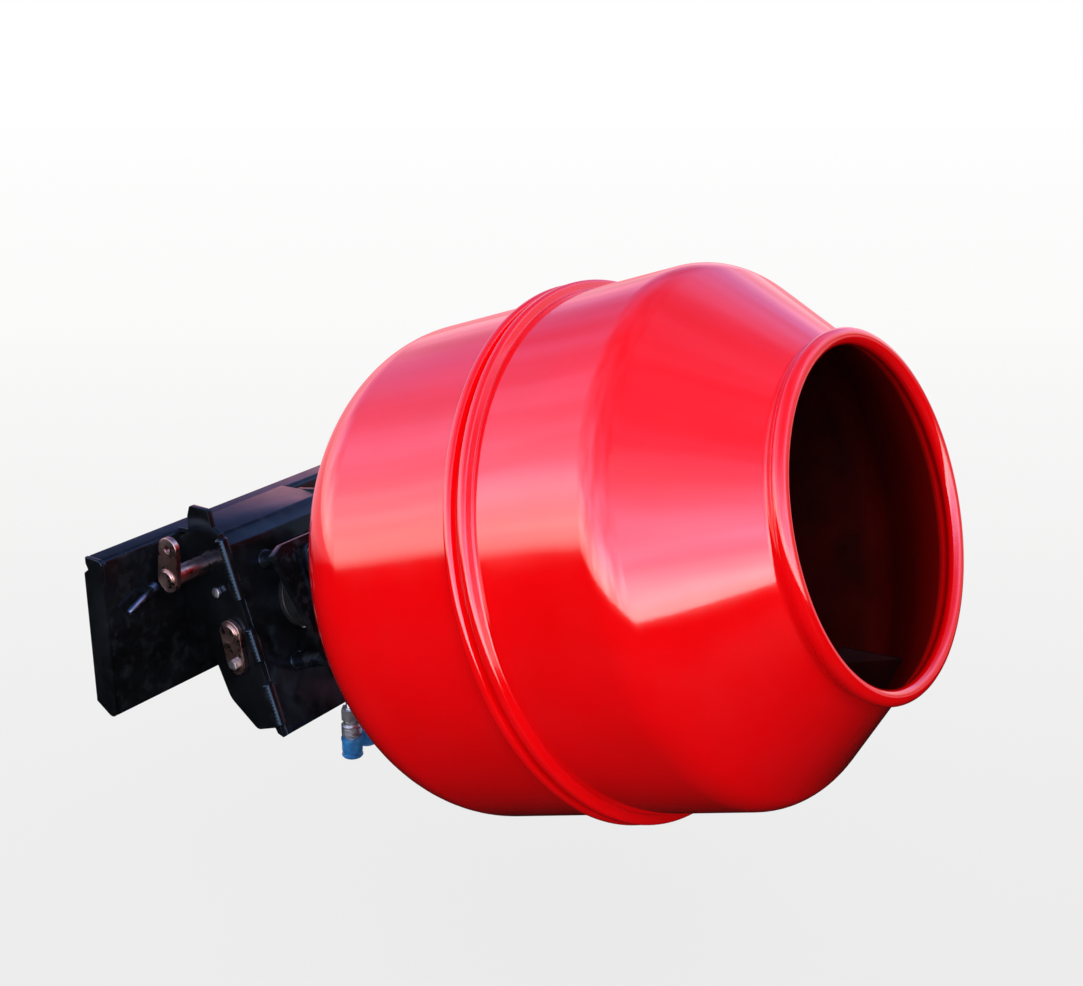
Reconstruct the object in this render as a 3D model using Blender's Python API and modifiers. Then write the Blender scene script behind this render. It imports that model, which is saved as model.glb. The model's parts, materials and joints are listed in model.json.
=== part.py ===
"""Hydraulic concrete mixer drum on a quick-attach plate, for the front of a compact loader.

Row frame: the origin is the centre of the plate's contact face, +X points forward from the
loader to the drum, +Y to the loader's left, +Z up. The drum leans back by TILT.
Head frame (the empties head_frame and drum_spin): local Z runs along the drum's axis towards
the mouth from the centre of the drum's base, local -X is the way up across the drum.
"""
import math

import bmesh
import bpy
from mathutils import Matrix, Vector

GAP = 0.0003                      # between two pieces that touch

# bolt heads: width across flats and height
M8_HEAD = (0.013, 0.0055)
M12_HEAD = (0.019, 0.0075)

# drum
TILT = math.radians(19.5)         # the drum's axis above the horizontal
BASE_X = 0.3197                   # centre of the drum's base, forward of the contact face
BASE_Z = 0.0847                   # and above it
DRUM_RADIUS = 0.300
DRUM_WALL = 0.003
BASE_RADIUS = 0.172               # where the flat base starts to turn up
CORNER_HEIGHT = 0.132             # where the bowl reaches its full radius
BOWL_FILLET = 0.105
SEAM_HEIGHT = 0.356               # the two shells meet here
SEAM_PROUD = 0.012
SEAM_FOLD = 0.012                 # width of each shell's fold
SHOULDER_HEIGHT = 0.526
SHOULDER_FILLET = 0.055
CONE_LENGTH = 0.120               # shoulder to neck, along the axis
NECK_RADIUS = 0.190
NECK_LENGTH = 0.026               # neck to the top of the rim
NECK_HEIGHT = SHOULDER_HEIGHT + CONE_LENGTH
DRUM_LENGTH = NECK_HEIGHT + NECK_LENGTH
RIM_BEAD = 0.009                  # radius of the rolled rim
RIM_PROUD = 0.0075                # how far the rim stands out past the neck
DRUM_SEGMENTS = 40

# mixing blades
BLADES = 2
BLADE_THICKNESS = 0.004
BLADE_WIDTH = 0.085
BLADE_START = 0.150
BLADE_END = 0.590                 # where its root ends on the front shell
BLADE_EDGE_END = 0.517            # where its free edge ends
BLADE_SWEEP = math.radians(75.0)
BLADE_PHASE = math.radians(-41.0)

# hub, shaft and bearings
SHAFT_RADIUS = 0.0175
HUB_RADIUS = 0.080
HUB_THICKNESS = 0.012
HUB_BOSS_RADIUS = 0.032
HUB_BOSS_LENGTH = 0.024
HUB_BOLT_CIRCLE = 0.058
HUB_BOLTS = 4
HUB_BOLT_RADIUS = 0.006
HUB_BOLT_HOLE = HUB_BOLT_RADIUS + 0.0004
HUB_BOLT_START = math.radians(20.0)
BACKING_RADIUS = 0.085
BACKING_THICKNESS = 0.006
BEARING_RADIUS = 0.036
BEARING_WIDTH = 0.017
BEARING_SPLIT = 0.0235            # radius between the inner ring and the rest
HOUSING_RADIUS = 0.052
HOUSING_FRONT = 0.040             # behind the drum's base
HOUSING_FLANGE = 0.012
SEAL_WIDTH = 0.007
SHAFT_CLEARANCE = 0.0004

# motor mount
MOUNT_DEPTH = 0.120               # mount plate's front face, behind the drum's base
MOUNT_THICKNESS = 0.010
MOUNT_HALF_TOP = 0.101
MOUNT_HALF_BOTTOM = 0.058
MOUNT_TOP = 0.088
MOUNT_BOTTOM = 0.102
MOUNT_CHAMFER = 0.019
FLANGE_HALF_WIDTH = 0.057
FLANGE_TOP = 0.078
FLANGE_BOTTOM = 0.090
BOLT_Y = 0.045                    # the four mount bolts
BOLT_UP = 0.066
BOLT_DOWN = 0.078
MOUNT_BOLT_RADIUS = 0.006
MOUNT_BOLT_HOLE = MOUNT_BOLT_RADIUS + 0.0006
STANDOFF_RADIUS = 0.011

# hydraulic motor
MOTOR_RADIUS = 0.041
MOTOR_BODY = 0.044
MOTOR_RING = 0.018
MOTOR_COVER = 0.016
MOTOR_BOLT_CIRCLE = 0.034
MOTOR_BOLT_RADIUS = 0.004
PORT_SPREAD = 0.017
PORT_DEPTH = 0.024                # ports, behind the mount plate's rear face
PORT_BORE = 0.0070
FITTING_HEXAGON = 0.0110          # centre to corner
FITTING_LENGTH = 0.016
FITTING_SHANK = 0.0066
FITTING_SHOULDER = 0.004          # between the motor's side and the hexagon
FITTING_INSET = 0.026             # where the shank ends, out from the motor's axis
PIPE_SEAT = 0.008                 # how deep a pipe end sits in its fitting
PIPE_RADIUS = 0.006
PIPE_CLEARANCE = 0.0004

# cradle: inclined panel between two cheeks
PANEL_DEPTH = 0.200               # panel's front face, behind the drum's base
PANEL_THICKNESS = 0.008
PANEL_TOP = 0.100
PANEL_BOTTOM = 0.163
PANEL_WINDOW = MOTOR_RADIUS + 0.003
PANEL_CREST = 0.118               # where its top folds back to the plate
PANEL_BEND = 0.010                # outside radius of its folds
CHEEK_INNER = 0.100
CHEEK_THICKNESS = 0.008
EAR_THICKNESS = 0.010

# quick-attach plate
PLATE_HALF_WIDTH = 0.233
PLATE_TOP = 0.115
PLATE_BOTTOM = 0.113
PLATE_THICKNESS = 0.006
PLATE_DEPTH = 0.029               # how far its edges fold back behind the contact face
FOLD_RADIUS = 0.0075              # outside of its folds
LIP_RISE = 0.022                  # the lower lip slopes up by this
HOOK_STEP = 0.004                 # the end plates stand this far inside the lower lip, at the top
END_THICKNESS = 0.006
LOCK_SLOT_Y = 0.150
LOCK_SLOT_LENGTH = 0.034
LOCK_SLOT_WIDTH = 0.014

# flagged pins
PIN_RADIUS = 0.0125
PIN_LENGTH = 0.085
PIN_CLEARANCE = 0.0004
PIN_SEGMENTS = 20
FLAG_REACH = 0.042                # pin to the flag's bolt hole
FLAG_RADIUS = 0.018
FLAG_THICKNESS = 0.008
UPPER_PIN = (0.057, 0.0815)       # X and Z of the pin's axis
LOWER_PIN = (0.1064, -0.0032)
UPPER_BOLT_ANGLE = math.radians(-52.5)
LOWER_BOLT_ANGLE = math.radians(-79.5)
UPPER_FLAG_REST = math.radians(84.0)
FLAG_BOLT_RADIUS = 0.004
FLAG_BOLT_HOLE = FLAG_BOLT_RADIUS + 0.0004
FLAG_BOLT_LENGTH = 0.015
PIN_PULLED = 0.055                # the upper pin stands this far out of the near cheek

# hydraulic couplings
COUPLING_TOP = -0.098
COUPLING_LENGTH = 0.066
COUPLING_RADIUS = 0.0105
COUPLING_HEXAGON = 0.0135         # centre to corner
COUPLING_NUT = 0.016              # length of that hexagon
COUPLING_BORE = 0.0055
COUPLING_BORE_TOP = 0.030         # where that bore ends, below the hexagon's top
COUPLINGS = {"female": (0.2515, -0.047), "male": (0.2430, -0.008)}
SLEEVE_RADIUS = 0.0135
SLEEVE_LENGTH = 0.016
SLEEVE_TRAVEL = 0.005
CAP_RADIUS = 0.0145
CAP_LENGTH = 0.029
CAP_WALL = 0.0025
CAP_SPACE = 0.003                 # inside a cap, below the coupling's end

# small parts
KEEPER_Y = -0.170
KEEPER_Z = 0.052
KEEPER_TILT = math.radians(24.0)  # the parked pin's slope, down to the near side
KEEPER_STAND = 0.010              # pin axis in front of the plate
KEEPER_WIDTH = 0.016
KEEPER_THICKNESS = 0.012
KEEPER_PIN_RADIUS = 0.0045
KEEPER_PIN_OUT = 0.038

COLORS = {
    "red_paint": ((0.80, 0.005, 0.012), 0.18, 0.0),
    "red_inside": ((0.30, 0.006, 0.008), 0.45, 0.0),
    "black_paint": ((0.012, 0.013, 0.016), 0.30, 0.0),
    "zinc_steel": ((0.62, 0.60, 0.56), 0.32, 1.0),
    "pin_steel": ((0.40, 0.27, 0.22), 0.35, 1.0),
    "bearing_steel": ((0.55, 0.55, 0.56), 0.22, 1.0),
    "seal_rubber": ((0.02, 0.02, 0.02), 0.70, 0.0),
    "motor_paint": ((0.03, 0.03, 0.035), 0.40, 0.0),
    "blue_plastic": ((0.02, 0.17, 0.50), 0.40, 0.0),
}


# ---------------------------------------------------------------- scene and materials

def clear_scene():
    for obj in list(bpy.data.objects):
        bpy.data.objects.remove(obj, do_unlink=True)


def make_collection(name):
    collection = bpy.data.collections.new(name)
    bpy.context.scene.collection.children.link(collection)
    return collection


def make_material(name):
    rgb, roughness, metallic = COLORS[name]
    material = bpy.data.materials.new(name)
    material.use_nodes = True
    shader = material.node_tree.nodes["Principled BSDF"]
    shader.inputs["Base Color"].default_value = (*rgb, 1.0)
    shader.inputs["Roughness"].default_value = roughness
    shader.inputs["Metallic"].default_value = metallic
    material.diffuse_color = (*rgb, 1.0)
    return material


clear_scene()
PARTS = make_collection("concrete_mixer")
CUTTERS = make_collection("cutters")
MATERIALS = {name: make_material(name) for name in COLORS}


def make_empty(name, location=(0, 0, 0), rotation=(0, 0, 0)):
    empty = bpy.data.objects.new(name, None)
    empty.location = location
    empty.rotation_euler = rotation
    empty.empty_display_size = 0.05
    PARTS.objects.link(empty)
    return empty


def make_part(name, mesh, material, parent=None, location=(0, 0, 0), rotation=(0, 0, 0)):
    """A named piece; mesh may be shared with its copies."""
    if not mesh.materials:
        mesh.materials.append(MATERIALS[material])
    obj = bpy.data.objects.new(name, mesh)
    obj.location = location
    obj.rotation_euler = rotation
    obj.parent = parent
    PARTS.objects.link(obj)
    return obj


def make_cutter(name, mesh, parent=None, location=(0, 0, 0), rotation=(0, 0, 0)):
    obj = bpy.data.objects.new(name, mesh)
    obj.location = location
    obj.rotation_euler = rotation
    obj.parent = parent
    obj.hide_render = True
    obj.display_type = "WIRE"
    CUTTERS.objects.link(obj)
    return obj


def combine(obj, other, operation):
    modifier = obj.modifiers.new(other.name, "BOOLEAN")
    modifier.object = other
    modifier.operation = operation
    modifier.solver = "EXACT"
    return modifier


def shade_round(mesh, angle=35.0):
    mesh.shade_smooth()
    mesh.set_sharp_from_angle(angle=math.radians(angle))
    return mesh


# ---------------------------------------------------------------- outlines and profiles

def arc(centre, radius, start, end, steps):
    """Points along an arc, angles in radians."""
    points = []
    for step in range(steps + 1):
        angle = start + (end - start) * step / steps
        points.append((centre[0] + radius * math.cos(angle), centre[1] + radius * math.sin(angle)))
    return points


def circle(centre, radius, steps=16):
    return arc(centre, radius, 0.0, 2.0 * math.pi * (steps - 1) / steps, steps - 1)


def rounded_path(corners, steps=3):
    """An open path through (x, y, fillet radius) corners."""
    path = []
    for index, (x, y, radius) in enumerate(corners):
        here = Vector((x, y))
        if radius == 0.0 or index in (0, len(corners) - 1):
            path.append((x, y))
            continue
        before = (Vector(corners[index - 1][:2]) - here).normalized()
        after = (Vector(corners[index + 1][:2]) - here).normalized()
        half = before.angle(after) / 2.0
        centre = here + (before + after).normalized() * radius / math.sin(half)
        start = here + before * radius / math.tan(half) - centre
        end = here + after * radius / math.tan(half) - centre
        start_angle = math.atan2(start.y, start.x)
        turn = math.remainder(math.atan2(end.y, end.x) - start_angle, 2.0 * math.pi)
        path += arc(centre, radius, start_angle, start_angle + turn, steps)
    return path


def rounded_outline(corners, steps=3):
    """A closed outline through (x, y, fillet radius) corners."""
    wrapped = [corners[-1]] + list(corners) + [corners[0]]
    return rounded_path(wrapped, steps)[1:-1]


def offset_path(path, distance):
    """The path moved to its left by distance, with mitred corners."""
    moved = []
    for index, point in enumerate(path):
        before = Vector(path[max(index - 1, 0)])
        here = Vector(point)
        after = Vector(path[min(index + 1, len(path) - 1)])
        directions = [(b - a).normalized() for a, b in ((before, here), (here, after)) if (b - a).length]
        normals = [Vector((-d.y, d.x)) for d in directions]
        middle = (normals[0] + normals[-1]).normalized()
        moved.append(tuple(here + middle * distance / middle.dot(normals[0])))
    return moved


def sheet_outline(path, thickness):
    """The closed outline of a folded sheet, the path being one of its faces."""
    return list(path) + list(reversed(offset_path(path, thickness)))


# ---------------------------------------------------------------- mesh makers

def evaluated_mesh(obj, name):
    """The finished mesh of obj, welded, with obj removed."""
    graph = bpy.context.evaluated_depsgraph_get()
    mesh = bpy.data.meshes.new_from_object(obj.evaluated_get(graph))
    mesh.name = name
    mesh.materials.clear()
    bpy.data.objects.remove(obj, do_unlink=True)
    working = bmesh.new()
    working.from_mesh(mesh)
    bmesh.ops.remove_doubles(working, verts=working.verts, dist=0.00001)
    bmesh.ops.dissolve_degenerate(working, edges=working.edges, dist=0.000001)
    working.to_mesh(mesh)
    working.free()
    return mesh


def plate_mesh(name, outline, thickness, holes=()):
    """A flat plate in the XY plane, centred on it, with holes given as outlines."""
    curve = bpy.data.curves.new(name, "CURVE")
    curve.dimensions = "2D"
    curve.fill_mode = "BOTH"
    curve.extrude = thickness / 2.0
    curve.render_resolution_u = 0
    for points in [outline] + list(holes):
        spline = curve.splines.new("POLY")
        spline.points.add(len(points) - 1)
        for point, (x, y) in zip(spline.points, points):
            point.co = (x, y, 0.0, 1.0)
        spline.use_cyclic_u = True
    obj = bpy.data.objects.new(name, curve)
    CUTTERS.objects.link(obj)
    return evaluated_mesh(obj, name)


def turned_mesh(name, profile, segments=24, closed=True):
    """A mesh turned about Z. The (radius, z) profile runs down its outer side."""
    mesh = bpy.data.meshes.new(name)
    edges = [(i, i + 1) for i in range(len(profile) - 1)]
    if closed:
        edges.append((len(profile) - 1, 0))
    mesh.from_pydata([(radius, 0.0, z) for radius, z in profile], edges, [])
    obj = bpy.data.objects.new(name, mesh)
    CUTTERS.objects.link(obj)
    screw = obj.modifiers.new("turn", "SCREW")
    screw.axis = "Z"
    screw.angle = 2.0 * math.pi
    screw.steps = segments
    screw.render_steps = segments
    screw.use_merge_vertices = True
    screw.merge_threshold = 0.00001
    return shade_round(evaluated_mesh(obj, name))


def ring_mesh(name, outer, inner, low, high, segments=20):
    return turned_mesh(name, [(outer, high), (outer, low), (inner, low), (inner, high)], segments)


def rod_mesh(name, radius, low, high, segments=16):
    return turned_mesh(name, [(0.0, high), (radius, high), (radius, low), (0.0, low)], segments, False)


def tube_mesh(name, points, radius, resolution=2):
    """A round bar along a smooth run of points."""
    curve = bpy.data.curves.new(name, "CURVE")
    curve.dimensions = "3D"
    curve.bevel_depth = radius
    curve.bevel_resolution = resolution
    curve.use_fill_caps = True
    curve.render_resolution_u = 0
    spline = curve.splines.new("POLY")
    spline.points.add(len(points) - 1)
    for point, place in zip(spline.points, points):
        point.co = (*place, 1.0)
    obj = bpy.data.objects.new(name, curve)
    CUTTERS.objects.link(obj)
    return shade_round(evaluated_mesh(obj, name))


def joined_mesh(name, meshes, operation="UNION"):
    """The first mesh combined with each of the others."""
    body = bpy.data.objects.new(name, meshes[0])
    CUTTERS.objects.link(body)
    tools = []
    for index, mesh in enumerate(meshes[1:]):
        tool = bpy.data.objects.new("{}_tool_{}".format(name, index), mesh)
        CUTTERS.objects.link(tool)
        combine(body, tool, operation)
        tools.append(tool)
    result = evaluated_mesh(body, name)
    for tool in tools:
        bpy.data.objects.remove(tool, do_unlink=True)
    return shade_round(result)


def bolt_mesh(name, radius, length, across_flats, head):
    """A hexagon bolt: the head stands on z = 0 and the shank runs down from it."""
    corner = across_flats / math.sqrt(3.0)
    hexagon = circle((0.0, 0.0), corner, 6)
    head_mesh = plate_mesh(name, hexagon, head)
    head_mesh.transform(Matrix.Translation((0.0, 0.0, head / 2.0)))
    shank = rod_mesh(name + "_shank", radius, -length, head / 2.0, 10)
    return joined_mesh(name, [head_mesh, shank])


# ---------------------------------------------------------------- shared places

HEAD_ROTATION = (0.0, math.pi / 2.0 - TILT, 0.0)
HEAD_PLACE = (BASE_X, 0.0, BASE_Z)
SIDEWAYS = (math.pi / 2.0, 0.0, 0.0)      # a flat outline in X and Z, its normal along -Y
HEAD = make_empty("head_frame", HEAD_PLACE, HEAD_ROTATION)
SPIN = make_empty("drum_spin", HEAD_PLACE, HEAD_ROTATION)

MOUNT_FRONT = -MOUNT_DEPTH
MOUNT_REAR = -MOUNT_DEPTH - MOUNT_THICKNESS
PANEL_FRONT = -PANEL_DEPTH
PANEL_REAR = -PANEL_DEPTH - PANEL_THICKNESS
FLANGE_REAR = MOUNT_FRONT + GAP
FLANGE_FRONT = FLANGE_REAR + HOUSING_FLANGE
MOTOR_FRONT = MOUNT_REAR - GAP
RING_FRONT = MOTOR_FRONT - MOTOR_BODY - GAP
COVER_FRONT = RING_FRONT - MOTOR_RING - GAP
COVER_REAR = COVER_FRONT - MOTOR_COVER


def head_point(up, y, along):
    """A point of the head frame in the row frame."""
    x = BASE_X + along * math.cos(TILT) - up * math.sin(TILT)
    z = BASE_Z + along * math.sin(TILT) + up * math.cos(TILT)
    return Vector((x, y, z))


def on_circle(radius, index, count, start=0.0):
    angle = start + 2.0 * math.pi * index / count
    return (radius * math.cos(angle), radius * math.sin(angle))


# ---------------------------------------------------------------- quick-attach plate

def build_attach_plate():
    """A folded plate: its rear face rests on the loader, its edges hook round it."""
    fold = rounded_path([
        (-PLATE_DEPTH + HOOK_STEP + 0.001, PLATE_TOP, 0.0),
        (PLATE_THICKNESS, PLATE_TOP, FOLD_RADIUS),
        (PLATE_THICKNESS, -PLATE_BOTTOM, FOLD_RADIUS),
        (-PLATE_DEPTH, -PLATE_BOTTOM + LIP_RISE, 0.0),
    ], 4)
    width = 2.0 * (PLATE_HALF_WIDTH - END_THICKNESS - GAP)
    mesh = plate_mesh("attach_plate", sheet_outline(fold, -PLATE_THICKNESS), width)
    plate = make_part("attach_plate", mesh, "black_paint", rotation=SIDEWAYS)
    for side in (-1, 1):
        slot = plate_mesh("lock_slot", lock_slot_outline(), 0.06)
        cutter = make_cutter("lock_slot_cutter", slot, location=(-0.014, side * LOCK_SLOT_Y, -0.105))
        combine(plate, cutter, "DIFFERENCE")


def lock_slot_outline():
    half = (LOCK_SLOT_LENGTH - LOCK_SLOT_WIDTH) / 2.0
    radius = LOCK_SLOT_WIDTH / 2.0
    right = arc((0.0, half), radius, 0.0, math.pi, 6)
    left = arc((0.0, -half), radius, math.pi, 2.0 * math.pi, 6)
    return right + left


def build_plate_ends():
    """End plates that close the folded plate, with the notch its top hook leaves."""
    rear = -PLATE_DEPTH
    outline = rounded_outline([
        (PLATE_THICKNESS, PLATE_TOP, FOLD_RADIUS),
        (rear + HOOK_STEP, PLATE_TOP, 0.0),
        (rear + HOOK_STEP, PLATE_TOP - 0.009, 0.0),
        (rear + 2.0 * HOOK_STEP, PLATE_TOP - 0.017, 0.0),
        (rear, PLATE_TOP - 0.023, 0.0),
        (rear, -PLATE_BOTTOM + LIP_RISE, 0.0),
        (PLATE_THICKNESS, -PLATE_BOTTOM, FOLD_RADIUS),
    ], 4)
    mesh = plate_mesh("plate_end", outline, END_THICKNESS)
    middle = PLATE_HALF_WIDTH - END_THICKNESS / 2.0
    for name, side in (("near", -1), ("far", 1)):
        place = (0.0, side * middle, 0.0)
        make_part("plate_end_" + name, mesh, "black_paint", location=place, rotation=SIDEWAYS)


def bolt_place(pin, angle):
    return (pin[0] + FLAG_REACH * math.cos(angle), pin[1] + FLAG_REACH * math.sin(angle))


def build_ears():
    """Two ears welded to the plate, inside the cheeks, that the pins pass through."""
    front = PLATE_THICKNESS + GAP
    reach = 0.024
    outline = rounded_outline([
        (front, UPPER_PIN[1] + 0.026, 0.0),
        (UPPER_PIN[0] + 0.012, UPPER_PIN[1] + 0.026, 0.014),
        (LOWER_PIN[0] + reach, LOWER_PIN[1] + 0.004, 0.020),
        (LOWER_PIN[0] + 0.004, LOWER_PIN[1] - reach - 0.004, 0.020),
        (front, -PLATE_BOTTOM + 0.030, 0.0),
    ])
    holes = [circle(pin, PIN_RADIUS + PIN_CLEARANCE, PIN_SEGMENTS) for pin in (UPPER_PIN, LOWER_PIN)]
    holes.append(circle(bolt_place(UPPER_PIN, UPPER_BOLT_ANGLE), FLAG_BOLT_HOLE, 8))
    mesh = plate_mesh("ear", outline, EAR_THICKNESS, holes)
    middle = CHEEK_INNER - GAP - EAR_THICKNESS / 2.0
    for name, side in (("near", -1), ("far", 1)):
        place = (0.0, side * middle, 0.0)
        make_part("ear_" + name, mesh, "black_paint", location=place, rotation=SIDEWAYS)


# ---------------------------------------------------------------- cradle

def cheek_outline(tab):
    """The cheek's outline in X and Z; its front edge lies along the inclined panel."""
    top = head_point(0.121, 0.0, PANEL_FRONT)
    bottom = head_point(-PANEL_BOTTOM, 0.0, PANEL_FRONT)
    rear = PLATE_THICKNESS + GAP
    lower = [
        (bottom.x, bottom.z, 0.0),
        (bottom.x - 0.010, bottom.z + 0.003, 0.0),
        (bottom.x - 0.014, bottom.z + 0.010, 0.0),
        (bottom.x - 0.046, bottom.z - 0.002, 0.010),
        (0.092, -0.104, 0.030),
        (0.073, -0.063, 0.030),
        (0.047, 0.010, 0.020),
        (rear, 0.040, 0.0),
    ]
    upper = [(rear, 0.104, 0.0), (0.034, 0.122, 0.0)]
    if tab:
        upper += [(0.034, 0.145, 0.0), (0.039, 0.160, 0.003), (0.072, 0.160, 0.003), (0.078, 0.137, 0.0)]
    return rounded_outline(lower + upper + [(top.x, top.z, 0.004)])


def build_cheeks():
    """Two side plates of the cradle; only the near one has the tab above the plate."""
    pin_holes = [circle(pin, PIN_RADIUS + PIN_CLEARANCE, PIN_SEGMENTS) for pin in (UPPER_PIN, LOWER_PIN)]
    bolt_holes = [
        circle(bolt_place(UPPER_PIN, UPPER_BOLT_ANGLE), FLAG_BOLT_HOLE, 8),
        circle(bolt_place(LOWER_PIN, LOWER_BOLT_ANGLE), FLAG_BOLT_HOLE, 8),
    ]
    middle = CHEEK_INNER + CHEEK_THICKNESS / 2.0
    for name, side in (("near", -1), ("far", 1)):
        mesh = plate_mesh("cheek_" + name, cheek_outline(side < 0), CHEEK_THICKNESS, pin_holes + bolt_holes)
        place = (0.0, side * middle, 0.0)
        make_part("cheek_" + name, mesh, "black_paint", location=place, rotation=SIDEWAYS)


def build_panel():
    """The inclined panel, folded over at the top and back to the plate."""
    bottom = head_point(-PANEL_BOTTOM, 0.0, PANEL_FRONT)
    bend = head_point(PANEL_TOP, 0.0, PANEL_FRONT)
    crest = head_point(PANEL_CREST, 0.0, PANEL_FRONT - 0.010)
    rear = PLATE_THICKNESS + GAP
    path = rounded_path([
        (bottom.x, bottom.z, 0.0),
        (bend.x, bend.z, PANEL_BEND),
        (crest.x, crest.z, PANEL_BEND),
        (rear, crest.z - 0.004, 0.0),
    ], 2)
    width = 2.0 * (CHEEK_INNER - GAP)
    mesh = plate_mesh("cradle_panel", sheet_outline(path, PANEL_THICKNESS), width)
    panel = make_part("cradle_panel", mesh, "black_paint", rotation=SIDEWAYS)
    window = make_cutter("panel_window", rod_mesh("panel_window", PANEL_WINDOW, -0.02, 0.02, 32), HEAD,
                         (0.0, 0.0, PANEL_FRONT))
    combine(panel, window, "DIFFERENCE")


# ---------------------------------------------------------------- motor mount and bearings

def mount_bolt_places():
    return [(-up, side * BOLT_Y) for up in (BOLT_UP, -BOLT_DOWN) for side in (-1, 1)]


def build_mount_plate():
    outline = [
        (-MOUNT_TOP, MOUNT_HALF_TOP - MOUNT_CHAMFER),
        (-MOUNT_TOP + 0.009, MOUNT_HALF_TOP),
        (MOUNT_BOTTOM, MOUNT_HALF_BOTTOM),
        (MOUNT_BOTTOM, -MOUNT_HALF_BOTTOM),
        (-MOUNT_TOP + 0.009, -MOUNT_HALF_TOP),
        (-MOUNT_TOP, -MOUNT_HALF_TOP + MOUNT_CHAMFER),
    ]
    holes = [circle(place, MOUNT_BOLT_HOLE, 10) for place in mount_bolt_places()]
    holes.append(circle((0.0, 0.0), SHAFT_RADIUS + 0.002, 20))
    holes += motor_bolt_holes()
    mesh = plate_mesh("mount_plate", outline, MOUNT_THICKNESS, holes)
    make_part("mount_plate", mesh, "black_paint", HEAD, (0.0, 0.0, (MOUNT_FRONT + MOUNT_REAR) / 2.0))


def build_standoffs():
    """Four threaded posts welded on the panel, with the bolts that hold the mount to them."""
    length_low = PANEL_FRONT + GAP
    post = ring_mesh("standoff", STANDOFF_RADIUS, MOUNT_BOLT_HOLE, length_low, MOUNT_REAR - GAP, 12)
    bolt = bolt_mesh("mount_bolt", MOUNT_BOLT_RADIUS, HOUSING_FLANGE + MOUNT_THICKNESS + 0.028, *M12_HEAD)
    for number, (x, y) in enumerate(mount_bolt_places(), 1):
        make_part("standoff_{}".format(number), post, "black_paint", HEAD, (x, y, 0.0))
        make_part("mount_bolt_{}".format(number), bolt, "zinc_steel", HEAD, (x, y, FLANGE_FRONT + GAP))


def build_bearing_housing():
    """A flanged tube that holds both bearings and the seal."""
    outline = rounded_outline([
        (-FLANGE_TOP, FLANGE_HALF_WIDTH, 0.012),
        (FLANGE_BOTTOM, FLANGE_HALF_WIDTH, 0.012),
        (FLANGE_BOTTOM, -FLANGE_HALF_WIDTH, 0.012),
        (-FLANGE_TOP, -FLANGE_HALF_WIDTH, 0.012),
    ])
    holes = [circle(place, MOUNT_BOLT_HOLE, 10) for place in mount_bolt_places()]
    holes.append(circle((0.0, 0.0), HOUSING_RADIUS - 0.004, 16))
    flange = plate_mesh("housing_flange", outline, HOUSING_FLANGE, holes)
    flange.transform(Matrix.Translation((0.0, 0.0, (FLANGE_REAR + FLANGE_FRONT) / 2.0)))
    front = -HOUSING_FRONT
    seat = BEARING_RADIUS + GAP
    shoulder = seat - 0.004
    rear_seat = FLANGE_REAR + BEARING_WIDTH + 2.0 * GAP
    front_seat = front - SEAL_WIDTH - BEARING_WIDTH - 3.0 * GAP
    profile = [
        (HOUSING_RADIUS, front),
        (HOUSING_RADIUS, FLANGE_REAR),
        (seat, FLANGE_REAR),
        (seat, rear_seat),
        (shoulder, rear_seat),
        (shoulder, front_seat),
        (seat, front_seat),
        (seat, front),
    ]
    tube = turned_mesh("housing_tube", profile, 24)
    make_part("bearing_housing", joined_mesh("bearing_housing", [flange, tube]), "black_paint", HEAD)


def bearing_lows():
    """The rear face of each bearing along the axis."""
    rear = FLANGE_REAR + GAP
    front = -HOUSING_FRONT - SEAL_WIDTH - BEARING_WIDTH - 2.0 * GAP
    return {"rear": rear, "front": front}


def build_bearings():
    """Sealed ball bearings: the outer part stands in the housing, the inner ring turns."""
    for name, low in bearing_lows().items():
        high = low + BEARING_WIDTH
        outer = ring_mesh("bearing_outer", BEARING_RADIUS, BEARING_SPLIT + GAP, low, high)
        inner = ring_mesh("bearing_inner", BEARING_SPLIT, SHAFT_RADIUS + GAP, low, high)
        make_part("{}_bearing_outer".format(name), outer, "bearing_steel", HEAD)
        make_part("{}_bearing_inner".format(name), inner, "bearing_steel", SPIN)
    seal_low = bearing_lows()["front"] + BEARING_WIDTH + GAP
    seal = ring_mesh("shaft_seal", BEARING_RADIUS, SHAFT_RADIUS + SHAFT_CLEARANCE, seal_low, seal_low + SEAL_WIDTH)
    make_part("shaft_seal", seal, "seal_rubber", HEAD)


# ---------------------------------------------------------------- hydraulic motor

def motor_bolt_holes():
    return [circle(on_circle(MOTOR_BOLT_CIRCLE, i, 4), MOTOR_BOLT_RADIUS + 0.0004, 8) for i in range(4)]


def motor_section(name, front, depth, bore, holes):
    """One slice of the motor's stack, round with four bolt holes."""
    openings = list(holes)
    if bore:
        openings.append(circle((0.0, 0.0), bore, 20))
    mesh = plate_mesh(name, circle((0.0, 0.0), MOTOR_RADIUS, 28), depth, openings)
    mesh.transform(Matrix.Translation((0.0, 0.0, front - depth / 2.0)))
    return shade_round(mesh)


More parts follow.
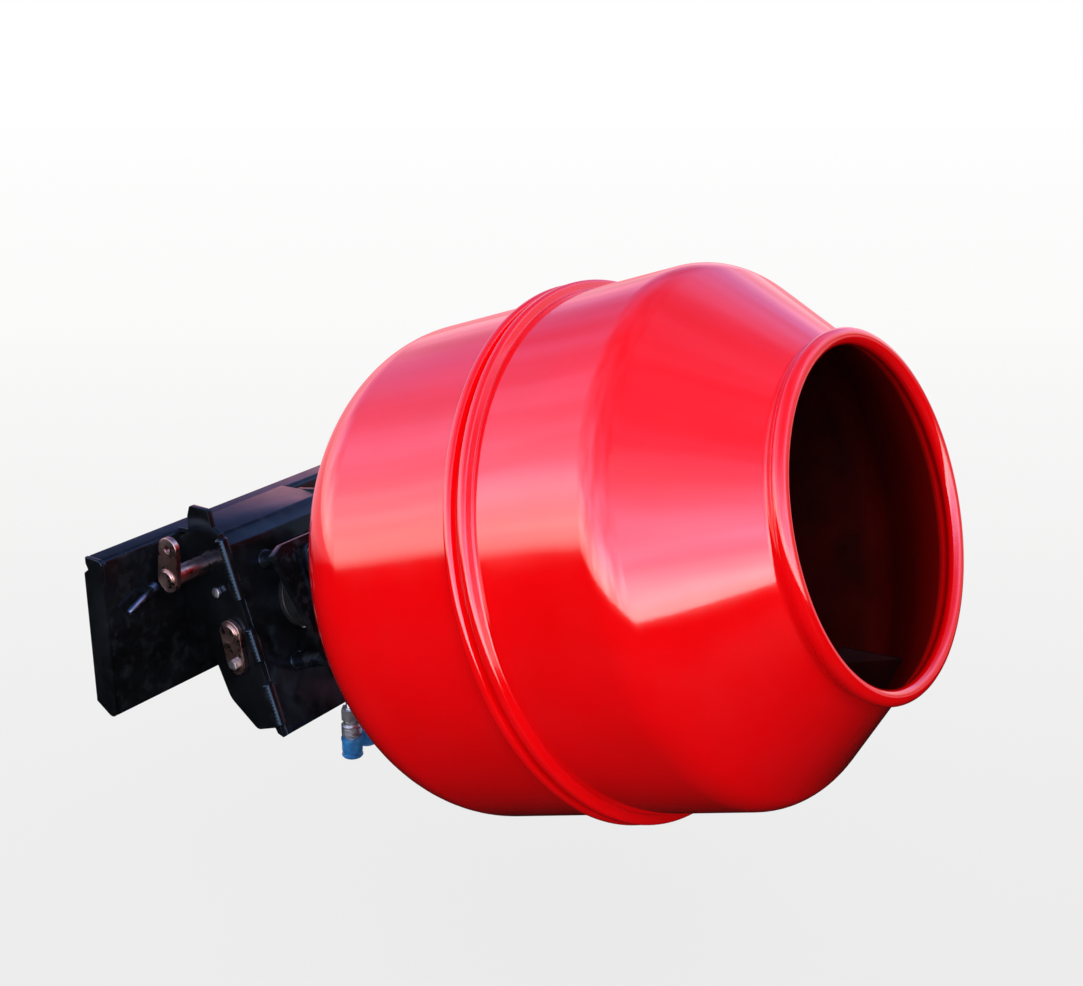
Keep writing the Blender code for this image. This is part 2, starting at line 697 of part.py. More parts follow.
def build_motor():
    """Port housing, rotor ring and end cover, clamped to the mount plate by four long bolts."""
    bore = SHAFT_RADIUS + SHAFT_CLEARANCE
    holes = motor_bolt_holes()
    housing = motor_section("motor_port_housing", MOTOR_FRONT, MOTOR_BODY, bore, holes)
    drills = []
    for side in (-1, 1):
        drill = rod_mesh("port_drill", PORT_BORE, FITTING_INSET - 0.002, MOTOR_RADIUS + 0.02, 16)
        turn = Matrix.Rotation(math.pi / 2.0, 4, "Y")
        drill.transform(Matrix.Translation((0.0, side * PORT_SPREAD, MOUNT_REAR - PORT_DEPTH)) @ turn)
        drills.append(drill)
    housing = joined_mesh("motor_port_housing", [housing] + drills, "DIFFERENCE")
    make_part("motor_port_housing", housing, "motor_paint", HEAD)
    ring = motor_section("motor_rotor_ring", RING_FRONT, MOTOR_RING, bore, holes)
    make_part("motor_rotor_ring", ring, "motor_paint", HEAD)
    cover = motor_section("motor_end_cover", COVER_FRONT, MOTOR_COVER, None, holes)
    make_part("motor_end_cover", cover, "motor_paint", HEAD)
    bolt = bolt_mesh("motor_bolt", MOTOR_BOLT_RADIUS, MOUNT_REAR + 0.006 - COVER_REAR, *M8_HEAD)
    for number in range(1, 5):
        x, y = on_circle(MOTOR_BOLT_CIRCLE, number - 1, 4)
        make_part("motor_bolt_{}".format(number), bolt, "zinc_steel", HEAD, (x, y, COVER_REAR - GAP),
                  (math.pi, 0.0, 0.0))


# ---------------------------------------------------------------- pipes and couplings

def port_reach():
    """How far the motor's side is from its axis, where a port comes out."""
    return math.sqrt(MOTOR_RADIUS ** 2 - PORT_SPREAD ** 2)


def port_face(side):
    """The middle of a port fitting's lower face, in the row frame."""
    down = port_reach() + FITTING_SHOULDER + FITTING_LENGTH
    return head_point(-down, side * PORT_SPREAD, MOUNT_REAR - PORT_DEPTH)


def build_port_fittings():
    """A hexagonal union screwed into each port."""
    flat = port_reach() + FITTING_SHOULDER
    body = plate_mesh("port_fitting", circle((0.0, 0.0), FITTING_HEXAGON, 6), FITTING_LENGTH)
    body.transform(Matrix.Translation((0.0, 0.0, flat + FITTING_LENGTH / 2.0)))
    shank = rod_mesh("fitting_shank", FITTING_SHANK, FITTING_INSET, flat + FITTING_LENGTH / 4.0, 16)
    mesh = joined_mesh("port_fitting", [body, shank])
    end = flat + FITTING_LENGTH
    bore = rod_mesh("fitting_bore", PIPE_RADIUS + PIPE_CLEARANCE, end - PIPE_SEAT - 0.001, end + 0.01, 16)
    mesh = joined_mesh("port_fitting", [mesh, bore], "DIFFERENCE")
    mesh.transform(Matrix.Rotation(math.pi / 2.0, 4, "Y"))
    for name, side in (("pressure", -1), ("return", 1)):
        make_part("{}_port_fitting".format(name), mesh, "zinc_steel", HEAD,
                  (0.0, side * PORT_SPREAD, MOUNT_REAR - PORT_DEPTH))


def smooth_run(start, first, last, end, steps):
    """Points of a curve that leaves start towards first and reaches end from last."""
    points = []
    for step in range(steps + 1):
        t = step / steps
        a, b, c, d = (1 - t) ** 3, 3 * t * (1 - t) ** 2, 3 * t * t * (1 - t), t ** 3
        points.append(start * a + first * b + last * c + end * d)
    return points


def build_pipes():
    """A bent steel pipe from each port down to its coupling."""
    down_axis = head_point(-1.0, 0.0, 0.0) - head_point(0.0, 0.0, 0.0)
    for (name, side), (x, y) in zip((("pressure", -1), ("return", 1)), COUPLINGS.values()):
        start = port_face(side) - down_axis * PIPE_SEAT
        end = Vector((x, y, COUPLING_TOP - PIPE_SEAT))
        above = Vector((0.0, 0.0, 1.0))
        points = smooth_run(start + down_axis * 0.009, start + down_axis * 0.036,
                            end + above * 0.022, end + above * 0.009, 10)
        mesh = tube_mesh("{}_pipe".format(name), [start] + points + [end], PIPE_RADIUS)
        make_part("{}_pipe".format(name), mesh, "zinc_steel")


def coupling_body_mesh():
    """A quick coupling's body: a hexagon at the pipe end, then a bored cylinder."""
    hexagon = plate_mesh("coupling_hexagon", circle((0.0, 0.0), COUPLING_HEXAGON, 6), COUPLING_NUT)
    hexagon.transform(Matrix.Translation((0.0, 0.0, -COUPLING_NUT / 2.0)))
    start = -COUPLING_NUT + 0.004
    low = -COUPLING_LENGTH
    barrel = turned_mesh("coupling_barrel", [
        (0.0, start),
        (COUPLING_RADIUS, start),
        (COUPLING_RADIUS, low + 0.002),
        (COUPLING_RADIUS - 0.0015, low),
        (COUPLING_BORE, low),
        (COUPLING_BORE, -COUPLING_BORE_TOP),
        (0.0, -COUPLING_BORE_TOP),
    ], 20, False)
    socket = rod_mesh("coupling_socket", PIPE_RADIUS + PIPE_CLEARANCE, -PIPE_SEAT - 0.0005, 0.01, 16)
    body = joined_mesh("coupling_body", [hexagon, barrel])
    return joined_mesh("coupling_body", [body, socket], "DIFFERENCE")


def build_couplings():
    """One female and one male quick coupling, each closed by a pull-off dust cap."""
    body = coupling_body_mesh()
    sleeve_high = -COUPLING_NUT - 0.002 - SLEEVE_TRAVEL
    sleeve = ring_mesh("coupling_sleeve", SLEEVE_RADIUS, COUPLING_RADIUS + GAP,
                       sleeve_high - SLEEVE_LENGTH, sleeve_high)
    cap_floor = -COUPLING_LENGTH - CAP_SPACE
    cap_low = cap_floor - CAP_WALL
    inside = COUPLING_RADIUS + GAP
    cap = turned_mesh("dust_cap", [
        (0.0, cap_floor),
        (inside, cap_floor),
        (inside, cap_low + CAP_LENGTH),
        (CAP_RADIUS - 0.0015, cap_low + CAP_LENGTH),
        (CAP_RADIUS, cap_low + CAP_LENGTH - 0.0015),
        (CAP_RADIUS, cap_low + 0.003),
        (CAP_RADIUS - 0.003, cap_low),
        (0.0, cap_low),
    ], 20, False)
    for name, (x, y) in COUPLINGS.items():
        place = (x, y, COUPLING_TOP)
        make_part("{}_coupling_body".format(name), body, "zinc_steel", location=place)
        make_part("{}_dust_cap".format(name), cap, "blue_plastic", location=place)
        if name == "female":
            make_part("coupling_sleeve", sleeve, "zinc_steel", location=place)


# ---------------------------------------------------------------- flagged pins

def flag_pin_mesh():
    """A pin with a flag welded on its outer end; the flag's bolt hole lies along +X."""
    half = math.pi / 2.0
    outline = arc((0.0, 0.0), FLAG_RADIUS, half, 3.0 * half, 7)
    outline += arc((FLAG_REACH, 0.0), FLAG_RADIUS - 0.002, -half, half, 7)
    flag = plate_mesh("flag", outline, FLAG_THICKNESS, [circle((FLAG_REACH, 0.0), FLAG_BOLT_HOLE, 8)])
    flag.transform(Matrix.Translation((0.0, 0.0, FLAG_THICKNESS / 2.0)))
    shaft = turned_mesh("pin_shaft", [
        (0.0, FLAG_THICKNESS + 0.003),
        (PIN_RADIUS - 0.0015, FLAG_THICKNESS + 0.003),
        (PIN_RADIUS, FLAG_THICKNESS + 0.0015),
        (PIN_RADIUS, -PIN_LENGTH + 0.003),
        (PIN_RADIUS - 0.003, -PIN_LENGTH),
        (0.0, -PIN_LENGTH),
    ], PIN_SEGMENTS, False)
    return joined_mesh("flag_pin", [flag, shaft])


def facing(side, angle):
    """Turns local Z to the side's outward direction and local X to the angle in X and Z."""
    along = Vector((math.cos(angle), 0.0, math.sin(angle)))
    outward = Vector((0.0, float(side), 0.0))
    across = outward.cross(along)
    return Matrix((along, across, outward)).transposed().to_euler()


def build_pins():
    """Upper and lower pins on both sides; the near upper one is drawn part of the way out."""
    pin = flag_pin_mesh()
    bolt = bolt_mesh("flag_bolt", FLAG_BOLT_RADIUS, FLAG_BOLT_LENGTH, *M8_HEAD)
    face = CHEEK_INNER + CHEEK_THICKNESS + GAP
    rows = (("upper", UPPER_PIN, UPPER_BOLT_ANGLE), ("lower", LOWER_PIN, LOWER_BOLT_ANGLE))
    for level, centre, angle in rows:
        for name, side in (("near", -1), ("far", 1)):
            pulled = level == "upper" and name == "near"
            turn = UPPER_FLAG_REST if pulled else angle
            out = side * (face + (PIN_PULLED if pulled else 0.0))
            make_part("{}_pin_{}".format(level, name), pin, "pin_steel",
                      location=(centre[0], out, centre[1]), rotation=facing(side, turn))
            x, z = bolt_place(centre, angle)
            head = side * (face + (0.0 if pulled else FLAG_THICKNESS + GAP))
            make_part("{}_flag_bolt_{}".format(level, name), bolt, "zinc_steel",
                      location=(x, head, z), rotation=facing(side, angle))


def build_keeper():
    """A small lug on the plate's face, with a spare locking pin parked in it."""
    forward = Vector((1.0, 0.0, 0.0))
    along = Vector((0.0, -math.cos(KEEPER_TILT), -math.sin(KEEPER_TILT)))
    turn = Matrix((forward, along.cross(forward), along)).transposed().to_euler()
    half = KEEPER_WIDTH / 2.0
    outline = rounded_outline([
        (-KEEPER_STAND, -half, 0.0),
        (half, -half, 0.004),
        (half, half, 0.004),
        (-KEEPER_STAND, half, 0.0),
    ])
    hole = circle((0.0, 0.0), KEEPER_PIN_RADIUS + GAP, 16)
    lug = plate_mesh("keeper_lug", outline, KEEPER_THICKNESS, [hole])
    place = (PLATE_THICKNESS + GAP + KEEPER_STAND, KEEPER_Y, KEEPER_Z)
    make_part("keeper_lug", lug, "black_paint", location=place, rotation=turn)
    head = -KEEPER_THICKNESS / 2.0 - GAP
    pin = turned_mesh("locking_pin", [
        (0.0, KEEPER_PIN_OUT),
        (KEEPER_PIN_RADIUS - 0.0015, KEEPER_PIN_OUT),
        (KEEPER_PIN_RADIUS, KEEPER_PIN_OUT - 0.0015),
        (KEEPER_PIN_RADIUS, head),
        (KEEPER_PIN_RADIUS + 0.003, head),
        (KEEPER_PIN_RADIUS + 0.003, head - 0.009),
        (KEEPER_PIN_RADIUS + 0.0015, head - 0.011),
        (0.0, head - 0.011),
    ], 16, False)
    make_part("locking_pin", pin, "zinc_steel", location=place, rotation=turn)


# ---------------------------------------------------------------- drum

def bowl_path(inset=0.0, folds=True):
    """The bowl from the middle of its base to the seam; inset moves it inwards."""
    top = SEAM_HEIGHT - GAP / 2.0
    corners = [
        (0.0, 0.0, 0.0),
        (BASE_RADIUS, 0.0, BOWL_FILLET),
        (DRUM_RADIUS, CORNER_HEIGHT, BOWL_FILLET),
    ]
    if folds:
        corners += fold_corners(top, -1)
    corners.append((DRUM_RADIUS, top, 0.0))
    return offset_path(rounded_path(corners, 3), inset)


def fold_corners(start, way):
    """The seam fold of one shell, listed from the bowl's side to the mouth's side."""
    edge = 0.0035
    steps = [(0.0, 0.0), (SEAM_PROUD - edge, 0.0), (SEAM_PROUD, edge), (SEAM_PROUD, SEAM_FOLD - edge),
             (SEAM_PROUD - edge, SEAM_FOLD), (0.0, SEAM_FOLD)]
    margin = 0.0035
    low = start - SEAM_FOLD - margin if way < 0 else start + margin
    return [(DRUM_RADIUS + proud, low + along, 0.0) for proud, along in steps]


def cone_path(inset=0.0, folds=True):
    """The front shell from the seam to the foot of the rim."""
    start = SEAM_HEIGHT + GAP / 2.0
    corners = [(DRUM_RADIUS, start, 0.0)]
    if folds:
        corners += fold_corners(start, 1)
    corners += [
        (DRUM_RADIUS, SHOULDER_HEIGHT, SHOULDER_FILLET),
        (NECK_RADIUS, NECK_HEIGHT, 0.0),
        (NECK_RADIUS, DRUM_LENGTH - 2.0 * RIM_BEAD, 0.0),
    ]
    return offset_path(rounded_path(corners, 3), inset)


def on_axis(path):
    """The path with its first point put back on the turning axis."""
    return [(0.0, path[0][1])] + list(path[1:])


def hub_bolt_places():
    return [on_circle(HUB_BOLT_CIRCLE, index, HUB_BOLTS, HUB_BOLT_START) for index in range(HUB_BOLTS)]


def hub_drills():
    """Tools for the bolt holes through the hub and the drum's base."""
    drills = []
    for x, y in hub_bolt_places():
        drill = rod_mesh("hub_drill", HUB_BOLT_HOLE, -0.04, 0.04, 10)
        drill.transform(Matrix.Translation((x, y, 0.0)))
        drills.append(drill)
    return drills


def build_bowl():
    outside = bowl_path()
    inside = on_axis(bowl_path(DRUM_WALL))
    profile = inside + list(reversed(outside))
    mesh = turned_mesh("drum_bowl", profile, DRUM_SEGMENTS, False)
    mesh = joined_mesh("drum_bowl", [mesh] + hub_drills(), "DIFFERENCE")
    make_part("drum_bowl", mesh, "red_paint", SPIN)


def build_cone():
    """The front shell, its mouth rolled into a bead."""
    outside = cone_path()
    inside = cone_path(DRUM_WALL)
    centre = (NECK_RADIUS + RIM_PROUD - RIM_BEAD, DRUM_LENGTH - RIM_BEAD)
    bead = arc(centre, RIM_BEAD, math.radians(-60.0), math.radians(240.0), 7)
    profile = inside[:-1] + list(reversed(bead)) + list(reversed(outside[:-1]))
    mesh = turned_mesh("drum_cone", profile, DRUM_SEGMENTS)
    make_part("drum_cone", mesh, "red_paint", SPIN)


def wall_radius(height):
    """The drum's outer radius between its corner and its neck."""
    slope = (DRUM_RADIUS - NECK_RADIUS) / CONE_LENGTH
    return DRUM_RADIUS - max(height - SHOULDER_HEIGHT, 0.0) * slope


def blade_surface(name, start_angle):
    """A strip that stands in from the wall and winds towards the mouth."""
    steps = 12
    verts = []
    for step in range(steps + 1):
        t = step / steps
        root = BLADE_START + (BLADE_END - BLADE_START) * t
        edge = BLADE_START + (BLADE_EDGE_END - BLADE_START) * t
        angle = start_angle + BLADE_SWEEP * t
        for radius, z in ((DRUM_RADIUS - BLADE_WIDTH, edge), (wall_radius(root) + 0.01, root)):
            verts.append((radius * math.cos(angle), radius * math.sin(angle), z))
    faces = [(2 * i, 2 * i + 1, 2 * i + 3, 2 * i + 2) for i in range(steps)]
    mesh = bpy.data.meshes.new(name)
    mesh.from_pydata(verts, [], faces)
    return mesh


def build_blades():
    """Mixing blades welded to the wall, trimmed to it."""
    clear = DRUM_WALL + GAP
    inside = on_axis(bowl_path(clear, False))[:-1] + cone_path(clear, False)[1:]
    high = inside[-1][1]
    space = turned_mesh("drum_space", [(0.0, inside[0][1])] + inside[1:] + [(0.0, high)], DRUM_SEGMENTS, False)
    space.flip_normals()
    for number in range(1, BLADES + 1):
        name = "blade_{}".format(number)
        angle = BLADE_PHASE + 2.0 * math.pi * (number - 1) / BLADES
        strip = bpy.data.objects.new(name, blade_surface(name, angle))
        CUTTERS.objects.link(strip)
        solid = strip.modifiers.new("thickness", "SOLIDIFY")
        solid.thickness = BLADE_THICKNESS
        solid.offset = 0.0
        mesh = joined_mesh(name, [evaluated_mesh(strip, name), space], "INTERSECT")
        make_part(name, mesh, "red_inside", SPIN)


def build_hub():
    """The hub flange behind the base, the plate inside it and the bolts through both."""
    shaft_hole = SHAFT_RADIUS + GAP
    rear = -GAP - HUB_THICKNESS
    hub = turned_mesh("hub_flange", [
        (HUB_RADIUS, -GAP),
        (HUB_RADIUS, rear),
        (HUB_BOSS_RADIUS, rear),
        (HUB_BOSS_RADIUS, rear - HUB_BOSS_LENGTH + 0.003),
        (HUB_BOSS_RADIUS - 0.003, rear - HUB_BOSS_LENGTH),
        (shaft_hole, rear - HUB_BOSS_LENGTH),
        (shaft_hole, -GAP),
    ], 28)
    low = DRUM_WALL + GAP
    make_part("hub_flange", joined_mesh("hub_flange", [hub] + hub_drills(), "DIFFERENCE"),
              "black_paint", SPIN)
    holes = [circle(place, HUB_BOLT_HOLE, 10) for place in hub_bolt_places()]
    backing = plate_mesh("backing_plate", circle((0.0, 0.0), BACKING_RADIUS, 28), BACKING_THICKNESS, holes)
    make_part("backing_plate", backing, "red_inside", SPIN, (0.0, 0.0, low + BACKING_THICKNESS / 2.0))
    bolt = bolt_mesh("hub_bolt", HUB_BOLT_RADIUS, HUB_THICKNESS + DRUM_WALL + BACKING_THICKNESS, *M12_HEAD)
    for number, (x, y) in enumerate(hub_bolt_places(), 1):
        make_part("hub_bolt_{}".format(number), bolt, "zinc_steel", SPIN, (x, y, rear - GAP),
                  (math.pi, 0.0, 0.0))


def build_shaft():
    """The motor's output shaft, through both bearings into the hub."""
    rear = COVER_FRONT + GAP
    front = -2.0 * GAP
    shaft = turned_mesh("drive_shaft", [
        (0.0, front),
        (SHAFT_RADIUS - 0.001, front),
        (SHAFT_RADIUS, front - 0.001),
        (SHAFT_RADIUS, rear),
        (0.0, rear),
    ], 24, False)
    make_part("drive_shaft", shaft, "bearing_steel", SPIN)


def build_all():
    build_attach_plate()
    build_plate_ends()
    build_ears()
    build_cheeks()
    build_panel()
    build_mount_plate()
    build_standoffs()
    build_bearing_housing()
    build_bearings()
    build_motor()
    build_port_fittings()
    build_pipes()
    build_couplings()
    build_pins()
    build_keeper()
    build_bowl()
    build_cone()
    build_blades()
    build_hub()
    build_shaft()


build_all()
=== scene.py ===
"""The looks of the hydraulic mixer drum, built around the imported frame.

Lengths are metres in the row frame: the origin is the middle of the quick-attach plate's contact
face, +X points forward from the loader to the drum, +Y to the loader's left, +Z up. Head
coordinates are (down, far, along): along the drum's axis from the middle of its base.
"""

import json
import math

import bmesh
import bpy
from mathutils import Matrix, Vector

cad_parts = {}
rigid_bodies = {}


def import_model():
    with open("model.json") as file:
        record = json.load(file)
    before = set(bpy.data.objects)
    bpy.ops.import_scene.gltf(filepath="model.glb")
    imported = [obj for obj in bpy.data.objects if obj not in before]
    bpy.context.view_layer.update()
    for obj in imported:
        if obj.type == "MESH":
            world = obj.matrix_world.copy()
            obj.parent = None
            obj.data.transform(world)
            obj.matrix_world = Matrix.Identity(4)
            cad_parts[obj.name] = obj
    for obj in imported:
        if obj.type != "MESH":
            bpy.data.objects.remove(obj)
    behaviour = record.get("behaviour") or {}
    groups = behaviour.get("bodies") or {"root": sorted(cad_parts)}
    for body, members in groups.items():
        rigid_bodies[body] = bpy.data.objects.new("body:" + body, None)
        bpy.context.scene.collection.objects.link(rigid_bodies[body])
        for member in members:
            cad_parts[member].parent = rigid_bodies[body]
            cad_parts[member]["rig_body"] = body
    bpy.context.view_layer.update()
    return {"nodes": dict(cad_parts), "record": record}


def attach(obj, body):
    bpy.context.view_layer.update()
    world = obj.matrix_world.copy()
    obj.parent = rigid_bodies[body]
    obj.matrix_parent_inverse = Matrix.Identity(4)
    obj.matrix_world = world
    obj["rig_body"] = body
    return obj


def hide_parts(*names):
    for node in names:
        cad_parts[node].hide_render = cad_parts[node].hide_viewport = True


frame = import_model()
NODES = frame["nodes"]

# places repeated from the CAD source
TILT = math.radians(19.5)
BASE = Vector((0.3197, 0.0, 0.0847))
DRUM_RADIUS = 0.300
DRUM_WALL = 0.003
BASE_RADIUS = 0.172
CORNER_HEIGHT = 0.132
BOWL_FILLET = 0.105
SEAM_HEIGHT = 0.356
SEAM_PROUD = 0.012
SEAM_FOLD = 0.012
SHOULDER_HEIGHT = 0.526
SHOULDER_FILLET = 0.055
NECK_RADIUS = 0.190
NECK_HEIGHT = 0.646
NECK_FILLET = 0.006
DRUM_LENGTH = 0.672
RIM_BEAD = 0.009
RIM_PROUD = 0.0075
GAP = 0.0003
PANEL_FRONT = -0.200
MOUNT_REAR = -0.130
FLANGE_FRONT = -0.1077
HOUSING_RADIUS = 0.052
BOLT_SPOTS = [(-0.066, -0.045), (-0.066, 0.045), (0.078, -0.045), (0.078, 0.045)]
STANDOFF_RADIUS = 0.011
MOTOR_RADIUS = 0.041
MOTOR_STACK = {
    "motor_port_housing": (-0.1303, -0.1743),
    "motor_rotor_ring": (-0.1746, -0.1926),
    "motor_end_cover": (-0.1929, -0.2089),
}
CHEEK_INNER = 0.100
CHEEK_THICKNESS = 0.008
PLATE_FRONT = 0.006
EAR_INNER = 0.0897
PIN_RADIUS = 0.0125
PIN_LENGTH = 0.085
PIN_PULLED = 0.055
FLAG_REACH = 0.042
FLAG_RADIUS = 0.018
FLAG_THICKNESS = 0.008
FLAG_BOLT_HOLE = 0.0044
UPPER_PIN = (0.057, 0.0815)
LOWER_PIN = (0.1064, -0.0032)
UPPER_BOLT_ANGLE = math.radians(-52.5)
LOWER_BOLT_ANGLE = math.radians(-79.5)
UPPER_FLAG_REST = math.radians(84.0)
KEEPER_TILT = math.radians(24.0)
KEEPER_PLACE = (0.0163, -0.170, 0.052)
COUPLING_TOP = -0.098
COUPLING_RADIUS = 0.0105
COUPLING_LENGTH = 0.066
COUPLING_NUT = 0.016
COUPLING_BORE = 0.0055
SLEEVE_RADIUS = 0.0135
SLEEVE_HIGH = -0.023
SLEEVE_LENGTH = 0.016
CAP_RADIUS = 0.0145
CAP_LOW = -0.0715
CAP_LENGTH = 0.029
CAP_FLOOR = -0.069
COUPLING_BORE_TOP = 0.030
COUPLING_HEXAGON = 0.0135
COUPLINGS = {"female": (0.2515, -0.047), "male": (0.2430, -0.008)}

# camera, floor and light; a side is a direction (x, y) on the ground
CAMERA_PLACE = (1.5675, -1.5082, 0.9021)
CAMERA_AIM = (-0.5355, 0.7750, -0.3376)
CAMERA_LENS = 54.67
SENSOR_WIDTH = 36.0
FLOOR_PLACE = (0.4, 0.0, -0.75)
FLOOR_REACH = 60.0
PLAIN_LIGHT = 0.62
SKY_STRENGTH = 5.2
BRIGHT_SIDE = (0.766, -0.643)
TREE_SIDE = (-0.60, 0.80)
FLANK_SIDE = (0.73, 0.68)
FAR_SIDE = (-0.5687, 0.8227)

# rounded edges, in metres, and angles in degrees
PLATE_EDGE = 0.0013
BLOCK_EDGE = 0.0010
FLANGE_EDGE = 0.0008
BOLT_EDGE = 0.0006
MOULDED_EDGE = 0.0009
SHARP_ANGLE = 32.0
BOLT_SHARP_ANGLE = 42.0
FLAT_ANGLE = 0.6
MERGE_DISTANCE = 0.00001
ON_AXIS = 1e-7

# fineness of the turned and rounded shapes
FILLET_STEPS = 10
SHELL_SEGMENTS = 240
BEAD_SIDES = 10
BEAD_STEP = 0.0012
BEAD_HEAP = 0.005
BEAD_END = 0.35
BEAD_END_GROWTH = 0.22

# weld beads: radii, and how far a bead's middle stands from the faces that it joins
WELD_LIFT = 0.001
PANEL_WELD_RADIUS = 0.0090
PANEL_WELD_SUNK = 0.0045
PANEL_WELD_OUT = 0.0035
PANEL_STITCHES = ((-0.116, -0.026), (0.008, 0.060), (0.085, 0.150))
EAR_WELD_RADIUS = 0.0030
EAR_WELD_HIGH = 0.100
EAR_WELD_LOW = -0.076
STANDOFF_WELD_RADIUS = 0.0024
HOUSING_WELD_RADIUS = 0.0028
FLAG_WELD_RADIUS = 0.0017
BRAZE_RADIUS = 0.0011

# the seam folds' distance from the seam, and the bores of the finished standoffs and nuts
FOLD_MARGIN = 0.0035
STANDOFF_BORE = 0.0066
NUT_HOLE = 0.0064

# the finished motor cover stands this far past its CAD radius, and narrows the gap round it
COVER_GROWTH = 0.0024

HEAD = Matrix.Translation(BASE) @ Matrix.Rotation(math.pi / 2.0 - TILT, 4, "Y")


# ---------------------------------------------------------------- shader nodes

def node(tree, kind, **values):
    """A new node with its settings."""
    made = tree.nodes.new(kind)
    for name, value in values.items():
        setattr(made, name, value)
    return made


def feed(tree, socket, value):
    """Links an output to the socket, or sets the socket's own number or colour."""
    if isinstance(value, bpy.types.NodeSocket):
        tree.links.new(value, socket)
    elif isinstance(value, (int, float)):
        socket.default_value = value
    else:
        socket.default_value = (*value, 1.0)


def math_node(tree, operation, *values, clamp=False):
    made = node(tree, "ShaderNodeMath", operation=operation, use_clamp=clamp)
    for socket, value in zip(made.inputs, values):
        feed(tree, socket, value)
    return made.outputs[0]


def split(tree, vector):
    """The x, y and z of a vector."""
    made = node(tree, "ShaderNodeSeparateXYZ")
    tree.links.new(vector, made.inputs[0])
    return made.outputs


def toward(tree, x, y, side):
    """How far (x, y) reaches toward a side."""
    return math_node(tree, "ADD", math_node(tree, "MULTIPLY", x, side[0]),
                     math_node(tree, "MULTIPLY", y, side[1]))


def color_ramp(tree, factor, stops):
    """A colour that runs through (position, colour) stops."""
    made = node(tree, "ShaderNodeValToRGB")
    elements = made.color_ramp.elements
    while len(elements) < len(stops):
        elements.new(0.5)
    for element, (position, color) in zip(elements, stops):
        element.position = position
        element.color = (*color, 1.0)
    tree.links.new(factor, made.inputs["Fac"])
    return made.outputs["Color"]


def vary(tree, factor, low, high, color_low, color_high):
    """A colour that runs between two colours as the factor runs from low to high."""
    return color_ramp(tree, factor, [(low, color_low), (high, color_high)])


def ranged(tree, factor, low, high, to_low, to_high):
    """A number that runs between two numbers as the factor runs from low to high."""
    made = node(tree, "ShaderNodeMapRange")
    tree.links.new(factor, made.inputs["Value"])
    limits = (("From Min", low), ("From Max", high), ("To Min", to_low), ("To Max", to_high))
    for name, value in limits:
        made.inputs[name].default_value = value
    return made.outputs["Result"]


def mix_color(tree, factor, first, second, blend="MIX"):
    made = node(tree, "ShaderNodeMix", data_type="RGBA", blend_type=blend)
    sockets = (made.inputs[0], made.inputs[6], made.inputs[7])
    for socket, value in zip(sockets, (factor, first, second)):
        feed(tree, socket, value)
    return made.outputs[2]


def mix_shader(tree, factor, first, second):
    made = node(tree, "ShaderNodeMixShader")
    for socket, value in zip(made.inputs, (factor, first, second)):
        tree.links.new(value, socket)
    return made.outputs[0]


def plain_shader(tree, kind, color, strength=None):
    """A background, emission or diffuse shader."""
    made = node(tree, kind)
    feed(tree, made.inputs["Color"], color)
    if strength is not None:
        feed(tree, made.inputs["Strength"], strength)
    return made.outputs[0]


def noise(tree, scale, detail=3.0, roughness=0.55):
    place = node(tree, "ShaderNodeTexCoord").outputs["Object"]
    texture = node(tree, "ShaderNodeTexNoise")
    texture.inputs["Scale"].default_value = scale
    texture.inputs["Detail"].default_value = detail
    texture.inputs["Roughness"].default_value = roughness
    tree.links.new(place, texture.inputs["Vector"])
    return texture.outputs["Fac"]


def bump(tree, height, strength, distance, under=None):
    made = node(tree, "ShaderNodeBump")
    made.inputs["Strength"].default_value = strength
    made.inputs["Distance"].default_value = distance
    tree.links.new(height, made.inputs["Height"])
    if under is not None:
        tree.links.new(under, made.inputs["Normal"])
    return made.outputs["Normal"]


# ---------------------------------------------------------------- camera, floor, world, lamps

def build_camera():
    data = bpy.data.cameras.new("camera")
    data.lens = CAMERA_LENS
    data.sensor_width = SENSOR_WIDTH
    camera = bpy.data.objects.new("camera", data)
    camera.location = CAMERA_PLACE
    camera.rotation_mode = "QUATERNION"
    camera.rotation_quaternion = Vector(CAMERA_AIM).to_track_quat("-Z", "Y")
    bpy.context.scene.collection.objects.link(camera)
    bpy.context.scene.camera = camera


def sky_color(tree, x, y, z, bright):
    """An open sky over a dark ground; its horizon leans, and haze tints the tree side."""
    leaning = math_node(tree, "MULTIPLY_ADD", math_node(tree, "ABSOLUTE", bright), 0.156, -0.051)
    height = math_node(tree, "MULTIPLY_ADD", math_node(tree, "ADD", z, leaning), 0.5, 0.5)
    sky = color_ramp(tree, height, [
        (0.485, (0.001, 0.001, 0.001)),
        (0.515, (0.70, 0.64, 0.60)),
        (0.560, (1.00, 0.96, 0.95)),
        (0.630, (0.86, 0.84, 1.00)),
        (0.700, (0.56, 0.56, 0.84)),
        (0.800, (0.28, 0.34, 0.56)),
        (0.900, (0.09, 0.12, 0.23)),
        (1.000, (0.02, 0.03, 0.07)),
    ])
    shaded = ranged(tree, toward(tree, x, y, TREE_SIDE), 0.20, 0.85, 0.0, 1.0)
    haze = color_ramp(tree, z, [(0.16, (1.00, 0.50, 0.60)), (0.37, (0.36, 0.40, 0.60))])
    return mix_color(tree, shaded, sky, mix_color(tree, 1.0, sky, haze, "MULTIPLY"))


